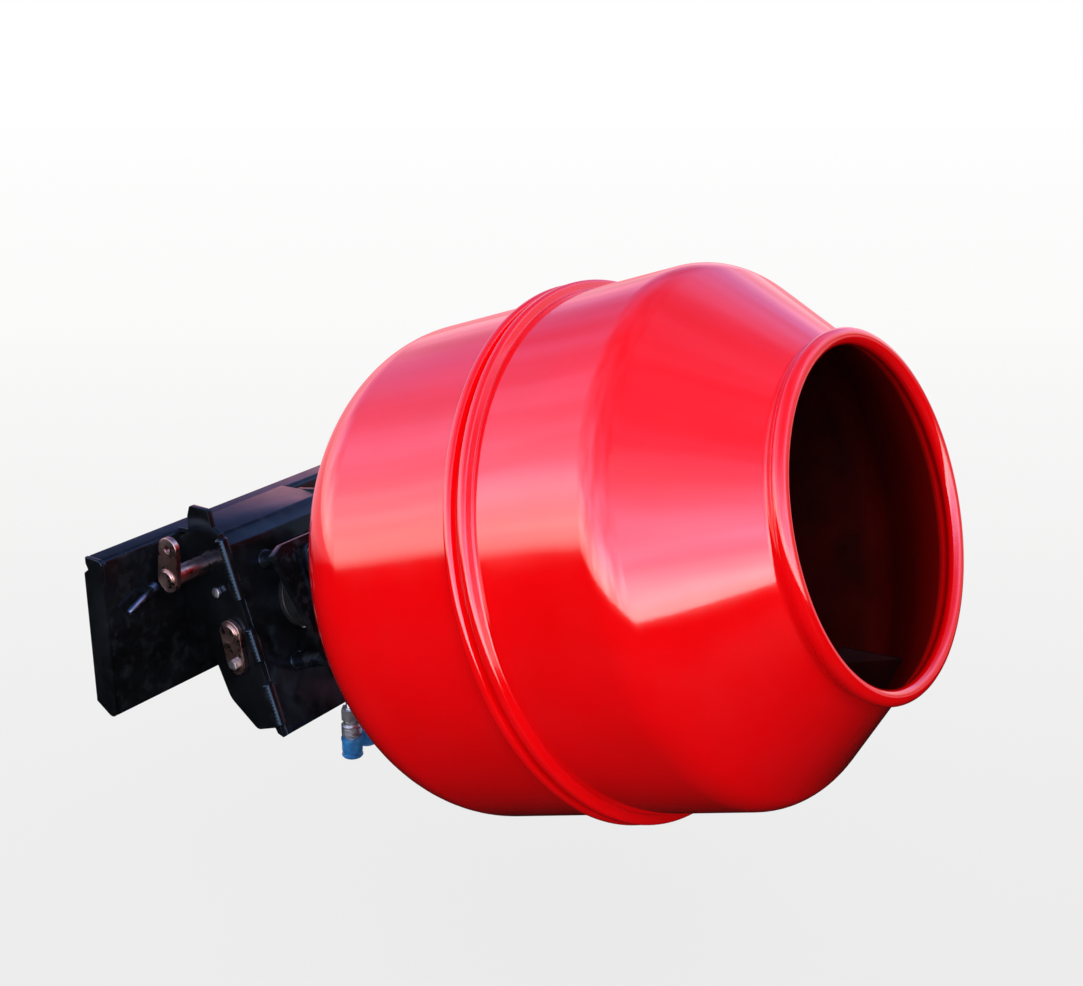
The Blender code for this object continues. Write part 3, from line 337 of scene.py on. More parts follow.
def sky_level(tree, direction, x, y, bright):
    """How bright the sky is: less behind the trees and on the flank, and uneven with cloud."""
    trees = ranged(tree, toward(tree, x, y, TREE_SIDE), 0.55, 0.95, 1.0, 0.68)
    flank = ranged(tree, toward(tree, x, y, FLANK_SIDE), 0.72, 0.93, 1.0, 0.12)
    trees = math_node(tree, "MULTIPLY", trees, flank)
    cloud = node(tree, "ShaderNodeTexNoise")
    cloud.inputs["Scale"].default_value = 4.0
    cloud.inputs["Detail"].default_value = 2.0
    tree.links.new(direction, cloud.inputs["Vector"])
    clouds = ranged(tree, cloud.outputs["Fac"], 0.35, 0.65, 0.72, 1.24)
    level = math_node(tree, "MULTIPLY_ADD", bright, 0.38, 0.70)
    level = math_node(tree, "MULTIPLY", math_node(tree, "MULTIPLY", level, trees), clouds)
    return math_node(tree, "MULTIPLY", level, SKY_STRENGTH)


def build_world():
    """Plain light from all round, white to the camera; only gloss sees the sky."""
    world = bpy.data.worlds.new("studio")
    bpy.context.scene.world = world
    world.use_nodes = True
    world.cycles.sampling_method = "NONE"
    tree = world.node_tree
    tree.nodes.clear()
    direction = node(tree, "ShaderNodeTexCoord").outputs["Generated"]
    x, y, z = split(tree, direction)
    bright = toward(tree, x, y, BRIGHT_SIDE)
    gloss = plain_shader(tree, "ShaderNodeBackground", sky_color(tree, x, y, z, bright),
                         sky_level(tree, direction, x, y, bright))
    plain = plain_shader(tree, "ShaderNodeBackground", (0.97, 0.985, 1.0), PLAIN_LIGHT)
    white = plain_shader(tree, "ShaderNodeBackground", (1.0, 1.0, 1.0))
    path = node(tree, "ShaderNodeLightPath").outputs
    lit = mix_shader(tree, path["Is Glossy Ray"], plain, gloss)
    seen = math_node(tree, "MAXIMUM", path["Is Camera Ray"], path["Is Transmission Ray"])
    output = node(tree, "ShaderNodeOutputWorld")
    tree.links.new(mix_shader(tree, seen, lit, white), output.inputs["Surface"])


def floor_material():
    """Pale to the camera, a little greyer near its side; to gloss a dark ground."""
    material = bpy.data.materials.new("floor")
    material.use_nodes = True
    tree = material.node_tree
    tree.nodes.clear()
    place = node(tree, "ShaderNodeTexCoord").outputs["Object"]
    x, y = split(tree, place)[:2]
    away = toward(tree, x, y, FAR_SIDE)
    shade = math_node(tree, "MULTIPLY_ADD", away, 0.075, 0.10, clamp=True)
    tone = color_ramp(tree, shade, [
        (0.0, (0.80, 0.80, 0.80)),
        (0.45, (0.957, 0.957, 0.953)),
        (1.0, (1.0, 1.0, 1.0)),
    ])
    distance = node(tree, "ShaderNodeVectorMath", operation="LENGTH")
    tree.links.new(place, distance.inputs[0])
    shadowed = ranged(tree, distance.outputs["Value"], 0.6, 2.6, 0.13, 0.0)
    shown = mix_shader(tree, shadowed, plain_shader(tree, "ShaderNodeEmission", tone),
                       plain_shader(tree, "ShaderNodeBsdfDiffuse", (0.9, 0.9, 0.9)))
    cloth = plain_shader(tree, "ShaderNodeBsdfDiffuse", (0.34, 0.34, 0.34))
    far_off = ranged(tree, away, 1.9, 3.2, 0.0, 1.0)
    ground = color_ramp(tree, far_off, [(0.0, (0.004, 0.004, 0.004)), (1.0, (1.00, 0.34, 0.40))])
    path = node(tree, "ShaderNodeLightPath").outputs
    unseen = mix_shader(tree, path["Is Glossy Ray"], cloth,
                        plain_shader(tree, "ShaderNodeEmission", ground))
    output = node(tree, "ShaderNodeOutputMaterial")
    tree.links.new(mix_shader(tree, path["Is Camera Ray"], unseen, shown),
                   output.inputs["Surface"])
    return material


def build_floor():
    mesh = bpy.data.meshes.new("floor")
    corners = [(x * FLOOR_REACH, y * FLOOR_REACH, 0.0)
               for x, y in ((-1, -1), (1, -1), (1, 1), (-1, 1))]
    mesh.from_pydata(corners, [], [(0, 1, 2, 3)])
    mesh.materials.append(floor_material())
    floor = bpy.data.objects.new("floor", mesh)
    floor.location = FLOOR_PLACE
    bpy.context.scene.collection.objects.link(floor)


def build_lamp(name, place, target, size, power):
    """A round lamp that shows neither to the camera nor in reflections."""
    data = bpy.data.lights.new(name, "AREA")
    data.shape = "DISK"
    data.size = size
    data.energy = power
    lamp = bpy.data.objects.new(name, data)
    lamp.location = place
    lamp.rotation_mode = "QUATERNION"
    lamp.rotation_quaternion = (Vector(target) - Vector(place)).to_track_quat("-Z", "Y")
    lamp.visible_camera = False
    lamp.visible_glossy = False
    bpy.context.scene.collection.objects.link(lamp)


def build_lamps():
    middle = (0.5, 0.0, 0.1)
    build_lamp("key", (2.4, -2.2, 2.4), middle, 2.2, 78.0)
    build_lamp("left", (-1.8, -2.6, 0.9), middle, 2.0, 40.0)
    build_lamp("right", (2.4, -0.7, -0.3), (0.8, -0.1, 0.1), 0.9, 2.5)


# ---------------------------------------------------------------- materials

def start_material(name, color, roughness, metallic=0.0):
    material = bpy.data.materials.new(name)
    material.use_nodes = True
    tree = material.node_tree
    shader = tree.nodes["Principled BSDF"]
    shader.inputs["Base Color"].default_value = (*color, 1.0)
    shader.inputs["Roughness"].default_value = roughness
    shader.inputs["Metallic"].default_value = metallic
    material.diffuse_color = (*color, 1.0)
    return material, tree, shader


def tinted(tree, shader, blotches, low, high, dark, light):
    """A base colour that drifts between two tones over blotches of noise."""
    tint = vary(tree, noise(tree, *blotches), low, high, dark, light)
    tree.links.new(tint, shader.inputs["Base Color"])


def grained(tree, shader, grain, strength, depth):
    """A fine bump of noise."""
    fine = bump(tree, noise(tree, *grain), strength, depth)
    tree.links.new(fine, shader.inputs["Normal"])


def red_gloss():
    """Gloss enamel on pressed sheet: slightly wavy, with fine orange peel."""
    material, tree, shader = start_material("red_gloss", (0.84, 0.0008, 0.003), 0.13)
    shader.inputs["Coat Weight"].default_value = 1.0
    shader.inputs["Coat Roughness"].default_value = 0.035
    tinted(tree, shader, (7.0, 4.0), 0.35, 0.68, (0.82, 0.0006, 0.002), (0.88, 0.0010, 0.004))
    rough = ranged(tree, noise(tree, 22.0, 4.0), 0.35, 0.7, 0.10, 0.17)
    tree.links.new(rough, shader.inputs["Roughness"])
    wave = bump(tree, noise(tree, 5.0, 1.0), 1.0, 0.0022)
    peel = bump(tree, noise(tree, 420.0, 2.0), 0.10, 0.0002, wave)
    tree.links.new(peel, shader.inputs["Normal"])
    tree.links.new(peel, shader.inputs["Coat Normal"])
    return material


def red_inner():
    """Dull dark inside of the drum as painted shade, with red painted light that rises toward the
    mouth and fades deeper in.
    """
    material, tree, shader = start_material("red_inner", (0.03, 0.002, 0.002), 0.6)
    shader.inputs["Specular IOR Level"].default_value = 0.12
    axis = HEAD.to_3x3().col[2]
    along = node(tree, "ShaderNodeVectorMath", operation="DOT_PRODUCT")
    tree.links.new(node(tree, "ShaderNodeTexCoord").outputs["Object"], along.inputs[0])
    along.inputs[1].default_value = axis
    base = HEAD.translation.dot(axis)
    ragged = math_node(tree, "MULTIPLY_ADD", noise(tree, 9.0, 4.0), 0.03, along.outputs["Value"])
    # painted light: the red rises from deep in the drum toward the mouth, where light falls in,
    # with a ragged edge
    mouth_light_mask = ranged(tree, ragged, base + 0.50, base + 0.68, 0.0, 1.0)
    # painted shade: the near-black of the drum's inside
    painted_shade_tone = vary(tree, noise(tree, 16.0, 6.0), 0.36, 0.66,
                  (0.016, 0.0010, 0.0010), (0.034, 0.0016, 0.0014))
    painted_mouth_light = color_ramp(tree, mouth_light_mask, [
        (0.0, (0.0, 0.0, 0.0)),
        (0.55, (0.10, 0.0, 0.0)),
        (1.0, (0.42, 0.001, 0.001)),
    ])
    tree.links.new(mix_color(tree, 1.0, painted_shade_tone, painted_mouth_light, "ADD"), shader.inputs["Base Color"])
    grained(tree, shader, (180.0, 4.0), 0.35, 0.0004)
    return material


def blade_painted_shade():
    """The blades in a darker painted shade than the wall, away from the painted light near the
    mouth.
    """
    material, tree, shader = start_material("blade_painted_shade", (0.012, 0.002, 0.002), 0.6)
    shader.inputs["Specular IOR Level"].default_value = 0.10
    # painted shade: near-black blades deep inside the drum
    tinted(tree, shader, (16.0, 6.0), 0.36, 0.66, (0.006, 0.0010, 0.0010), (0.015, 0.0014, 0.0012))
    grained(tree, shader, (180.0, 4.0), 0.35, 0.0004)
    return material


def black_powder():
    """Gloss black paint over plate, a little uneven, rubbed thin on some edges."""
    material, tree, shader = start_material("black_powder", (0.004, 0.0045, 0.006), 0.2)
    shader.inputs["Specular IOR Level"].default_value = 0.44
    shader.inputs["Specular Tint"].default_value = (0.36, 0.64, 1.0, 1.0)
    pointiness = node(tree, "ShaderNodeNewGeometry").outputs["Pointiness"]
    edge = ranged(tree, pointiness, 0.52, 0.60, 0.0, 1.0)
    patch = ranged(tree, noise(tree, 60.0, 5.0), 0.50, 0.66, 0.0, 0.7)
    worn = math_node(tree, "MULTIPLY", edge, patch)
    paint = vary(tree, noise(tree, 14.0, 5.0), 0.38, 0.66,
                 (0.0030, 0.0032, 0.0040), (0.0060, 0.0068, 0.0090))
    tree.links.new(mix_color(tree, worn, paint, (0.030, 0.036, 0.048)),
                   shader.inputs["Base Color"])
    tree.links.new(ranged(tree, noise(tree, 28.0, 4.0), 0.35, 0.7, 0.15, 0.27),
                   shader.inputs["Roughness"])
    grain = bump(tree, noise(tree, 520.0, 2.0), 0.05, 0.0002)
    tree.links.new(bump(tree, noise(tree, 7.0, 1.0), 0.3, 0.0005, grain), shader.inputs["Normal"])
    return material


def metal(name, dark, light, rough_low, rough_high, scale, grain=300.0):
    """Bare or plated steel with stains and fine scratches."""
    material, tree, shader = start_material(name, light, rough_high, 1.0)
    tinted(tree, shader, (scale, 6.0, 0.6), 0.36, 0.64, dark, light)
    tree.links.new(ranged(tree, noise(tree, scale * 2.3, 5.0), 0.35, 0.68, rough_low, rough_high),
                   shader.inputs["Roughness"])
    grained(tree, shader, (grain, 3.0), 0.08, 0.0002)
    return material


def motor_black():
    """Dull black paint over a rough casting."""
    material, tree, shader = start_material("motor_black", (0.022, 0.022, 0.024), 0.45)
    tinted(tree, shader, (40.0, 5.0), 0.36, 0.66, (0.014, 0.014, 0.016), (0.032, 0.032, 0.034))
    grained(tree, shader, (320.0, 3.0), 0.5, 0.0004)
    return material


def rubber():
    material, tree, shader = start_material("seal_black", (0.015, 0.015, 0.015), 0.75)
    tinted(tree, shader, (60.0, 4.0), 0.36, 0.66, (0.010, 0.010, 0.010), (0.024, 0.024, 0.023))
    grained(tree, shader, (500.0, 2.0), 0.2, 0.0002)
    return material


def blue_cap():
    """Moulded blue plastic, rubbed lighter here and there."""
    material, tree, shader = start_material("blue_moulded", (0.020, 0.17, 0.46), 0.38)
    tinted(tree, shader, (90.0, 5.0), 0.38, 0.68, (0.010, 0.11, 0.33), (0.035, 0.23, 0.55))
    grained(tree, shader, (420.0, 2.0), 0.2, 0.0002)
    return material


def build_materials():
    """One material for each slot of the record, and two more for the drum's inside."""
    return {
        "red_paint": red_gloss(),
        "red_inside": red_inner(),
        "blade": blade_painted_shade(),
        "black_paint": black_powder(),
        "zinc_steel": metal("zinc", (0.50, 0.51, 0.52), (0.68, 0.68, 0.67), 0.34, 0.46, 90.0),
        "pin_steel": metal("pin_bare", (0.36, 0.205, 0.165), (0.60, 0.43, 0.37),
                           0.24, 0.36, 26.0, 160.0),
        "bearing_steel": metal("bearing", (0.45, 0.45, 0.46), (0.58, 0.58, 0.59),
                               0.18, 0.28, 80.0),
        "seal_rubber": rubber(),
        "motor_paint": motor_black(),
        "blue_plastic": blue_cap(),
    }


build_camera()
build_world()
build_floor()
build_lamps()
MATERIALS = build_materials()
SLOT_OF = {part["node"]: part["material_slot"] for part in frame["record"]["subparts"]}
BODY_OF = {name: obj["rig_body"] for name, obj in NODES.items()}


# ---------------------------------------------------------------- mesh makers

def add_piece(name, mesh, body, slot, materials, *stands_for):
    """A finished piece that rides on a body and stands for CAD nodes."""
    for material in materials:
        mesh.materials.append(material)
    piece = bpy.data.objects.new(name, mesh)
    bpy.context.scene.collection.objects.link(piece)
    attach(piece, body)
    if stands_for:
        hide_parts(*stands_for)
    return piece


def arc(centre, radius, start, end, steps):
    """Points from one angle to another, both ends included."""
    points = []
    for step in range(steps + 1):
        angle = start + (end - start) * step / steps
        points.append((centre[0] + radius * math.cos(angle), centre[1] + radius * math.sin(angle)))
    return points


def circle(centre, radius, count):
    """Points all the way round, the last a step short of the first."""
    return arc(centre, radius, 0.0, 2.0 * math.pi * (count - 1) / count, count - 1)


def rounded_path(corners, steps):
    """An open path through (x, y, fillet radius) corners."""
    path = []
    for index, (x, y, radius) in enumerate(corners):
        here = Vector((x, y))
        if radius == 0.0 or index in (0, len(corners) - 1):
            path.append((x, y))
            continue
        before = (Vector(corners[index - 1][:2]) - here).normalized()
        after = (Vector(corners[index + 1][:2]) - here).normalized()
        half = before.angle(after) / 2.0
        centre = here + (before + after).normalized() * radius / math.sin(half)
        start = here + before * radius / math.tan(half) - centre
        end = here + after * radius / math.tan(half) - centre
        start_angle = math.atan2(start.y, start.x)
        turn = math.remainder(math.atan2(end.y, end.x) - start_angle, 2.0 * math.pi)
        path += arc(centre, radius, start_angle, start_angle + turn, steps)
    return path


def offset_path(path, distance):
    """The path moved to its left by distance, with mitred corners."""
    moved = []
    for index, point in enumerate(path):
        before = Vector(path[max(index - 1, 0)])
        here = Vector(point)
        after = Vector(path[min(index + 1, len(path) - 1)])
        sides = [b - a for a, b in ((before, here), (here, after)) if (b - a).length]
        directions = [side.normalized() for side in sides]
        normals = [Vector((-d.y, d.x)) for d in directions]
        middle = (normals[0] + normals[-1]).normalized()
        moved.append(tuple(here + middle * distance / middle.dot(normals[0])))
    return moved


def lathe(name, profile, segments=96, second_from=None, closed=True):
    """A mesh turned about Z from a (radius, z) profile; faces from second_from on use slot 1."""
    mesh = bpy.data.meshes.new(name)
    working = bmesh.new()
    rings = []
    for radius, z in profile:
        if radius < ON_AXIS:
            rings.append([working.verts.new((0.0, 0.0, z))])
            continue
        ring = []
        for step in range(segments):
            angle = 2.0 * math.pi * step / segments
            ring.append(working.verts.new((radius * math.cos(angle), radius * math.sin(angle), z)))
        rings.append(ring)
    pairs = [(i, i + 1) for i in range(len(rings) - 1)]
    if closed:
        pairs.append((len(rings) - 1, 0))
    for index, (a, b) in enumerate(pairs):
        for step in range(segments):
            after = (step + 1) % segments
            corners = [rings[a][step % len(rings[a])], rings[b][step % len(rings[b])],
                       rings[b][after % len(rings[b])], rings[a][after % len(rings[a])]]
            unique = list(dict.fromkeys(corners))
            if len(unique) < 3:
                continue
            face = working.faces.new(unique)
            face.smooth = True
            face.material_index = int(second_from is not None and index >= second_from)
    bmesh.ops.recalc_face_normals(working, faces=working.faces)
    working.to_mesh(mesh)
    working.free()
    mesh.set_sharp_from_angle(angle=math.radians(SHARP_ANGLE))
    return mesh


# ---------------------------------------------------------------- drum

def fold_path(low):
    """One shell's outward fold at the seam, as a soft bead."""
    foot = 0.0025
    crest = 0.0050
    slope = 0.001
    return [
        (DRUM_RADIUS, low - slope, foot),
        (DRUM_RADIUS + SEAM_PROUD, low + slope, crest),
        (DRUM_RADIUS + SEAM_PROUD, low + SEAM_FOLD - slope, crest),
        (DRUM_RADIUS, low + SEAM_FOLD + slope, foot),
    ]


def add_shell(name, profile, inside_from, node_name, closed):
    """A drum shell, turned finely; its inside, from a point of the profile on, is in the dark
    painted-shade material.
    """
    mesh = lathe(name, profile, SHELL_SEGMENTS, inside_from, closed)
    mesh.transform(HEAD)
    add_piece(name, mesh, "drum", "red_paint",
              [MATERIALS["red_paint"], MATERIALS["red_inside"]], node_name)


def drum_bowl():
    """The rear shell, from its flat base up to the seam."""
    top = SEAM_HEIGHT - GAP / 2.0
    corners = [
        (0.0, 0.0, 0.0),
        (BASE_RADIUS, 0.0, BOWL_FILLET),
        (DRUM_RADIUS, CORNER_HEIGHT, BOWL_FILLET),
    ]
    rim = [(DRUM_RADIUS, top, 0.0)]
    folds = fold_path(top - SEAM_FOLD - FOLD_MARGIN)
    outside = rounded_path(corners + folds + rim, FILLET_STEPS)
    inside = offset_path(rounded_path(corners + rim, FILLET_STEPS), DRUM_WALL)
    inside[0] = (0.0, DRUM_WALL)
    add_shell("drum_bowl_shell", outside + inside[::-1], len(outside), "drum_bowl", False)


def drum_cone():
    """The front shell, from the seam over the shoulder and neck to the rolled rim."""
    start = SEAM_HEIGHT + GAP / 2.0
    foot = [(DRUM_RADIUS, start, 0.0)]
    corners = [
        (DRUM_RADIUS, SHOULDER_HEIGHT, SHOULDER_FILLET),
        (NECK_RADIUS, NECK_HEIGHT, NECK_FILLET),
        (NECK_RADIUS, DRUM_LENGTH - 2.0 * RIM_BEAD, 0.0),
    ]
    outside = rounded_path(foot + fold_path(start + FOLD_MARGIN) + corners, FILLET_STEPS)
    inside = offset_path(rounded_path(foot + corners, FILLET_STEPS), DRUM_WALL)
    centre = (NECK_RADIUS + RIM_PROUD - RIM_BEAD, DRUM_LENGTH - RIM_BEAD)
    bead = arc(centre, RIM_BEAD, math.radians(-60.0), math.radians(240.0), 24)
    outside = outside[:-1] + bead
    add_shell("drum_cone_shell", outside + inside[-2::-1], len(outside), "drum_cone", True)


# ---------------------------------------------------------------- plates

def merge_flats(working):
    """Welds a mesh and takes away the lines across its flat faces."""
    bmesh.ops.remove_doubles(working, verts=working.verts, dist=MERGE_DISTANCE)
    bmesh.ops.dissolve_limit(working, angle_limit=math.radians(FLAT_ANGLE),
                             verts=working.verts, edges=working.edges)


def node_mesh(name):
    """A CAD node's shape, welded and without the lines across its flat faces."""
    mesh = bpy.data.meshes.new(name)
    working = bmesh.new()
    working.from_mesh(NODES[name].data)
    merge_flats(working)
    working.to_mesh(mesh)
    working.free()
    return mesh


def soften(piece, width, segments=3, angle=SHARP_ANGLE):
    """Rounded edges with a clean shading next to them."""
    piece.data.shade_smooth()
    rounding = piece.modifiers.new("rounding", "BEVEL")
    rounding.width = width
    rounding.segments = segments
    rounding.limit_method = "ANGLE"
    rounding.angle_limit = math.radians(angle)
    rounding.harden_normals = True


def finished(name, width, segments=3, angle=SHARP_ANGLE):
    """A piece of the CAD node's own shape, with rounded edges."""
    slot = SLOT_OF[name]
    piece = add_piece(name + "_finished", node_mesh(name), BODY_OF[name], slot,
                      [MATERIALS[slot]], name)
    soften(piece, width, segments, angle)


def plates():
    """Plates, blocks, bolts and fittings, each with the rounding that suits its thickness."""
    for name in ("attach_plate", "plate_end_near", "plate_end_far",
                 "cheek_near", "cheek_far", "cradle_panel"):
        finished(name, PLATE_EDGE)
    for name in ("ear_near", "ear_far", "mount_plate", "bearing_housing", "keeper_lug"):
        finished(name, BLOCK_EDGE)
    for name in ("hub_flange", "backing_plate"):
        finished(name, FLANGE_EDGE)
    for name in NODES:
        if "bolt_" in name or "port_fitting" in name:
            finished(name, BOLT_EDGE, 2, BOLT_SHARP_ANGLE)


# ---------------------------------------------------------------- weld beads

def bead_mesh(name, points, radius, closed):
    """A weld bead: a round strip along the points, heaped up at every fourth one.

    An open bead tapers toward its ends.
    """
    mesh = bpy.data.meshes.new(name)
    working = bmesh.new()
    count = len(points)
    rings = []
    for index, here in enumerate(points):
        before = points[index - 1] if closed or index else here
        after = points[(index + 1) % count] if closed or index < count - 1 else here
        along = (after - before).normalized()
        across = across - along * across.dot(along) if rings else along.orthogonal()
        across.normalize()
        up = along.cross(across)
        heap = 1.0 + BEAD_HEAP * math.cos(math.pi * index / 2.0)
        from_end = min(index, count - 1 - index)
        end = 1.0 if closed else min(1.0, BEAD_END + BEAD_END_GROWTH * from_end)
        ring = []
        for side in range(BEAD_SIDES):
            angle = 2.0 * math.pi * side / BEAD_SIDES
            offset = across * math.cos(angle) + up * math.sin(angle)
            ring.append(working.verts.new(here + offset * radius * heap * end))
        rings.append(ring)
    for index in range(count if closed else count - 1):
        first, second = rings[index], rings[(index + 1) % count]
        for side in range(BEAD_SIDES):
            after = (side + 1) % BEAD_SIDES
            working.faces.new((first[side], first[after], second[after], second[side]))
    if not closed:
        working.faces.new(list(reversed(rings[0])))
        working.faces.new(rings[-1])
    for face in working.faces:
        face.smooth = True
    bmesh.ops.recalc_face_normals(working, faces=working.faces)
    working.to_mesh(mesh)
    working.free()
    return mesh


def add_bead(name, points, radius, closed, body="root", slot="black_paint"):
    add_piece(name, bead_mesh(name, points, radius, closed), body, slot, [MATERIALS[slot]])


def straight_weld(name, start, end, radius):
    """A bead from one point to another."""
    steps = max(8, int((end - start).length / BEAD_STEP))
    points = [start.lerp(end, step / steps) for step in range(steps + 1)]
    add_bead(name, points, radius, False)


def ring_weld(name, place, ring_radius, radius, *body_and_slot):
    """A bead round the local Z axis of the matrix place."""
    steps = 4 * max(8, round(2.0 * math.pi * ring_radius / BEAD_STEP / 4.0))
    points = []
    for step in range(steps):
        angle = 2.0 * math.pi * step / steps
        around = Vector((ring_radius * math.cos(angle), ring_radius * math.sin(angle), 0.0))
        points.append(place @ around)
    add_bead(name, points, radius, True, *body_and_slot)


def welds():
    """Stitches along the panel, seams along the ears, rings round the standoffs and housing."""
    for side, name in ((-1, "near"), (1, "far")):
        y = side * (CHEEK_INNER + PANEL_WELD_OUT)
        along = PANEL_FRONT - PANEL_WELD_SUNK
        for number, (high, low) in enumerate(PANEL_STITCHES, 1):
            start = HEAD @ Vector((high, y, along))
            end = HEAD @ Vector((low, y, along))
            straight_weld(f"weld_panel_{name}_{number}", start, end, PANEL_WELD_RADIUS)
        y = side * EAR_INNER
        x = PLATE_FRONT + WELD_LIFT
        straight_weld(f"weld_ear_{name}", Vector((x, y, EAR_WELD_HIGH)),
                      Vector((x, y, EAR_WELD_LOW)), EAR_WELD_RADIUS)
    for number, (down, y) in enumerate(BOLT_SPOTS, 1):
        place = HEAD @ Matrix.Translation((down, y, PANEL_FRONT + WELD_LIFT))
        ring_weld(f"weld_standoff_{number}", place, STANDOFF_RADIUS, STANDOFF_WELD_RADIUS)
    place = HEAD @ Matrix.Translation((0.0, 0.0, FLANGE_FRONT + WELD_LIFT))
    ring_weld("weld_housing", place, HOUSING_RADIUS, HOUSING_WELD_RADIUS)


# ---------------------------------------------------------------- turned pieces

def turned(name, profile, place, body, slot, *stands_for, segments=64):
    """A turned piece set by a matrix; its profile is a loop, or starts and ends on the axis."""
    mesh = lathe(name, profile, segments, closed=profile[0][0] > 0.0)
    mesh.transform(place)
    return add_piece(name, mesh, body, slot, [MATERIALS[slot]], *stands_for)


def facing(side, angle):
    """Turns local Z to the side's outward direction and local X to the angle in X and Z."""
    along = Vector((math.cos(angle), 0.0, math.sin(angle)))
    outward = Vector((0.0, float(side), 0.0))
    return Matrix((along, outward.cross(along), outward)).transposed().to_4x4()


def flat_piece(name, outline, thickness, holes=()):
    """A flat plate's mesh in the XY plane, from z = 0 to its thickness."""
    curve = bpy.data.curves.new(name, "CURVE")
    curve.dimensions = "2D"
    curve.fill_mode = "BOTH"
    curve.extrude = thickness / 2.0
    for points in [outline] + list(holes):
        spline = curve.splines.new("POLY")
        spline.points.add(len(points) - 1)
        for point, (x, y) in zip(spline.points, points):
            point.co = (x, y, 0.0, 1.0)
        spline.use_cyclic_u = True
    holder = bpy.data.objects.new(name + "_curve", curve)
    bpy.context.scene.collection.objects.link(holder)
    graph = bpy.context.evaluated_depsgraph_get()
    mesh = bpy.data.meshes.new_from_object(holder.evaluated_get(graph))
    bpy.data.objects.remove(holder, do_unlink=True)
    mesh.materials.clear()
    working = bmesh.new()
    working.from_mesh(mesh)
    merge_flats(working)
    bmesh.ops.translate(working, verts=working.verts, vec=(0.0, 0.0, thickness / 2.0))
    working.to_mesh(mesh)
    working.free()
    mesh.name = name
    return mesh


def flag_pins():
    """A turned pin, its flag and the weld that joins them, four times."""
    half = math.pi / 2.0
    middle = (0.0, 0.0)
    tip = (FLAG_REACH, 0.0)
    outline = arc(middle, FLAG_RADIUS, half, 3.0 * half, 24)
    outline += arc(tip, FLAG_RADIUS - 0.002, -half, half, 24)
    holes = [circle(tip, FLAG_BOLT_HOLE, 24), circle(middle, PIN_RADIUS, 48)]
    crown = FLAG_THICKNESS + 0.003
    shaft = [
        (0.0, crown - 0.0006),
        (PIN_RADIUS - 0.0040, crown - 0.0004),
        (PIN_RADIUS - 0.0016, crown - 0.0002),
        (PIN_RADIUS - 0.0004, crown - 0.0010),
        (PIN_RADIUS, crown - 0.0022),
        (PIN_RADIUS, -PIN_LENGTH + 0.0036),
        (PIN_RADIUS - 0.0006, -PIN_LENGTH + 0.0030),
        (PIN_RADIUS - 0.0028, -PIN_LENGTH + 0.0004),
        (PIN_RADIUS - 0.0034, -PIN_LENGTH),
        (0.0, -PIN_LENGTH),
    ]
    face = CHEEK_INNER + CHEEK_THICKNESS + GAP
    rows = (("upper", UPPER_PIN, UPPER_BOLT_ANGLE), ("lower", LOWER_PIN, LOWER_BOLT_ANGLE))
    for level, centre, angle in rows:
        for name, side in (("near", -1), ("far", 1)):
            pulled = level == "upper" and name == "near"
            out = side * (face + (PIN_PULLED if pulled else 0.0))
            turn = UPPER_FLAG_REST if pulled else angle
            place = Matrix.Translation((centre[0], out, centre[1])) @ facing(side, turn)
            node_name = f"{level}_pin_{name}"
            body = BODY_OF[node_name]
            mesh = flat_piece(node_name + "_flag", outline, FLAG_THICKNESS, holes)
            mesh.transform(place)
            flag = add_piece(node_name + "_flag", mesh, body, "pin_steel",
                             [MATERIALS["pin_steel"]], node_name)
            soften(flag, MOULDED_EDGE)
            turned(node_name + "_shaft", shaft, place, body, "pin_steel", node_name, segments=48)
            on_flag = place @ Matrix.Translation((0.0, 0.0, FLAG_THICKNESS + 0.0002))
            ring_weld(node_name + "_weld", on_flag, PIN_RADIUS + 0.0004, FLAG_WELD_RADIUS,
                      body, "pin_steel")


def motor():
    """The motor's three sections, their joints marked by fine grooves."""
    groove = 0.0007
    cover_edge = 0.0010
    for name, (high, low) in MOTOR_STACK.items():
        cover = name == "motor_end_cover"
        edge = cover_edge if cover else groove
        radius = MOTOR_RADIUS + (COVER_GROWTH if cover else 0.0)
        profile = [
            (0.0, high),
            (radius - groove, high),
            (radius, high - groove),
            (radius, low + edge),
            (radius - edge * 0.35, low + edge * 0.35),
            (radius - edge, low),
            (0.0, low),
        ]
        turned(name + "_turned", profile, HEAD, "root", "motor_paint", name, segments=96)


def standoffs():
    """Four tubes between the panel and the mount plate, chamfered at the mount plate."""
    low = PANEL_FRONT + GAP
    high = MOUNT_REAR - GAP
    chamfer = 0.0008
    for number, (down, y) in enumerate(BOLT_SPOTS, 1):
        profile = [
            (STANDOFF_RADIUS - chamfer, high),
            (STANDOFF_RADIUS, high - chamfer),
            (STANDOFF_RADIUS, low),
            (STANDOFF_BORE, low),
            (STANDOFF_BORE, high),
        ]
        place = HEAD @ Matrix.Translation((down, y, 0.0))
        turned(f"standoff_{number}_turned", profile, place, "root", "black_paint",
               f"standoff_{number}", segments=40)


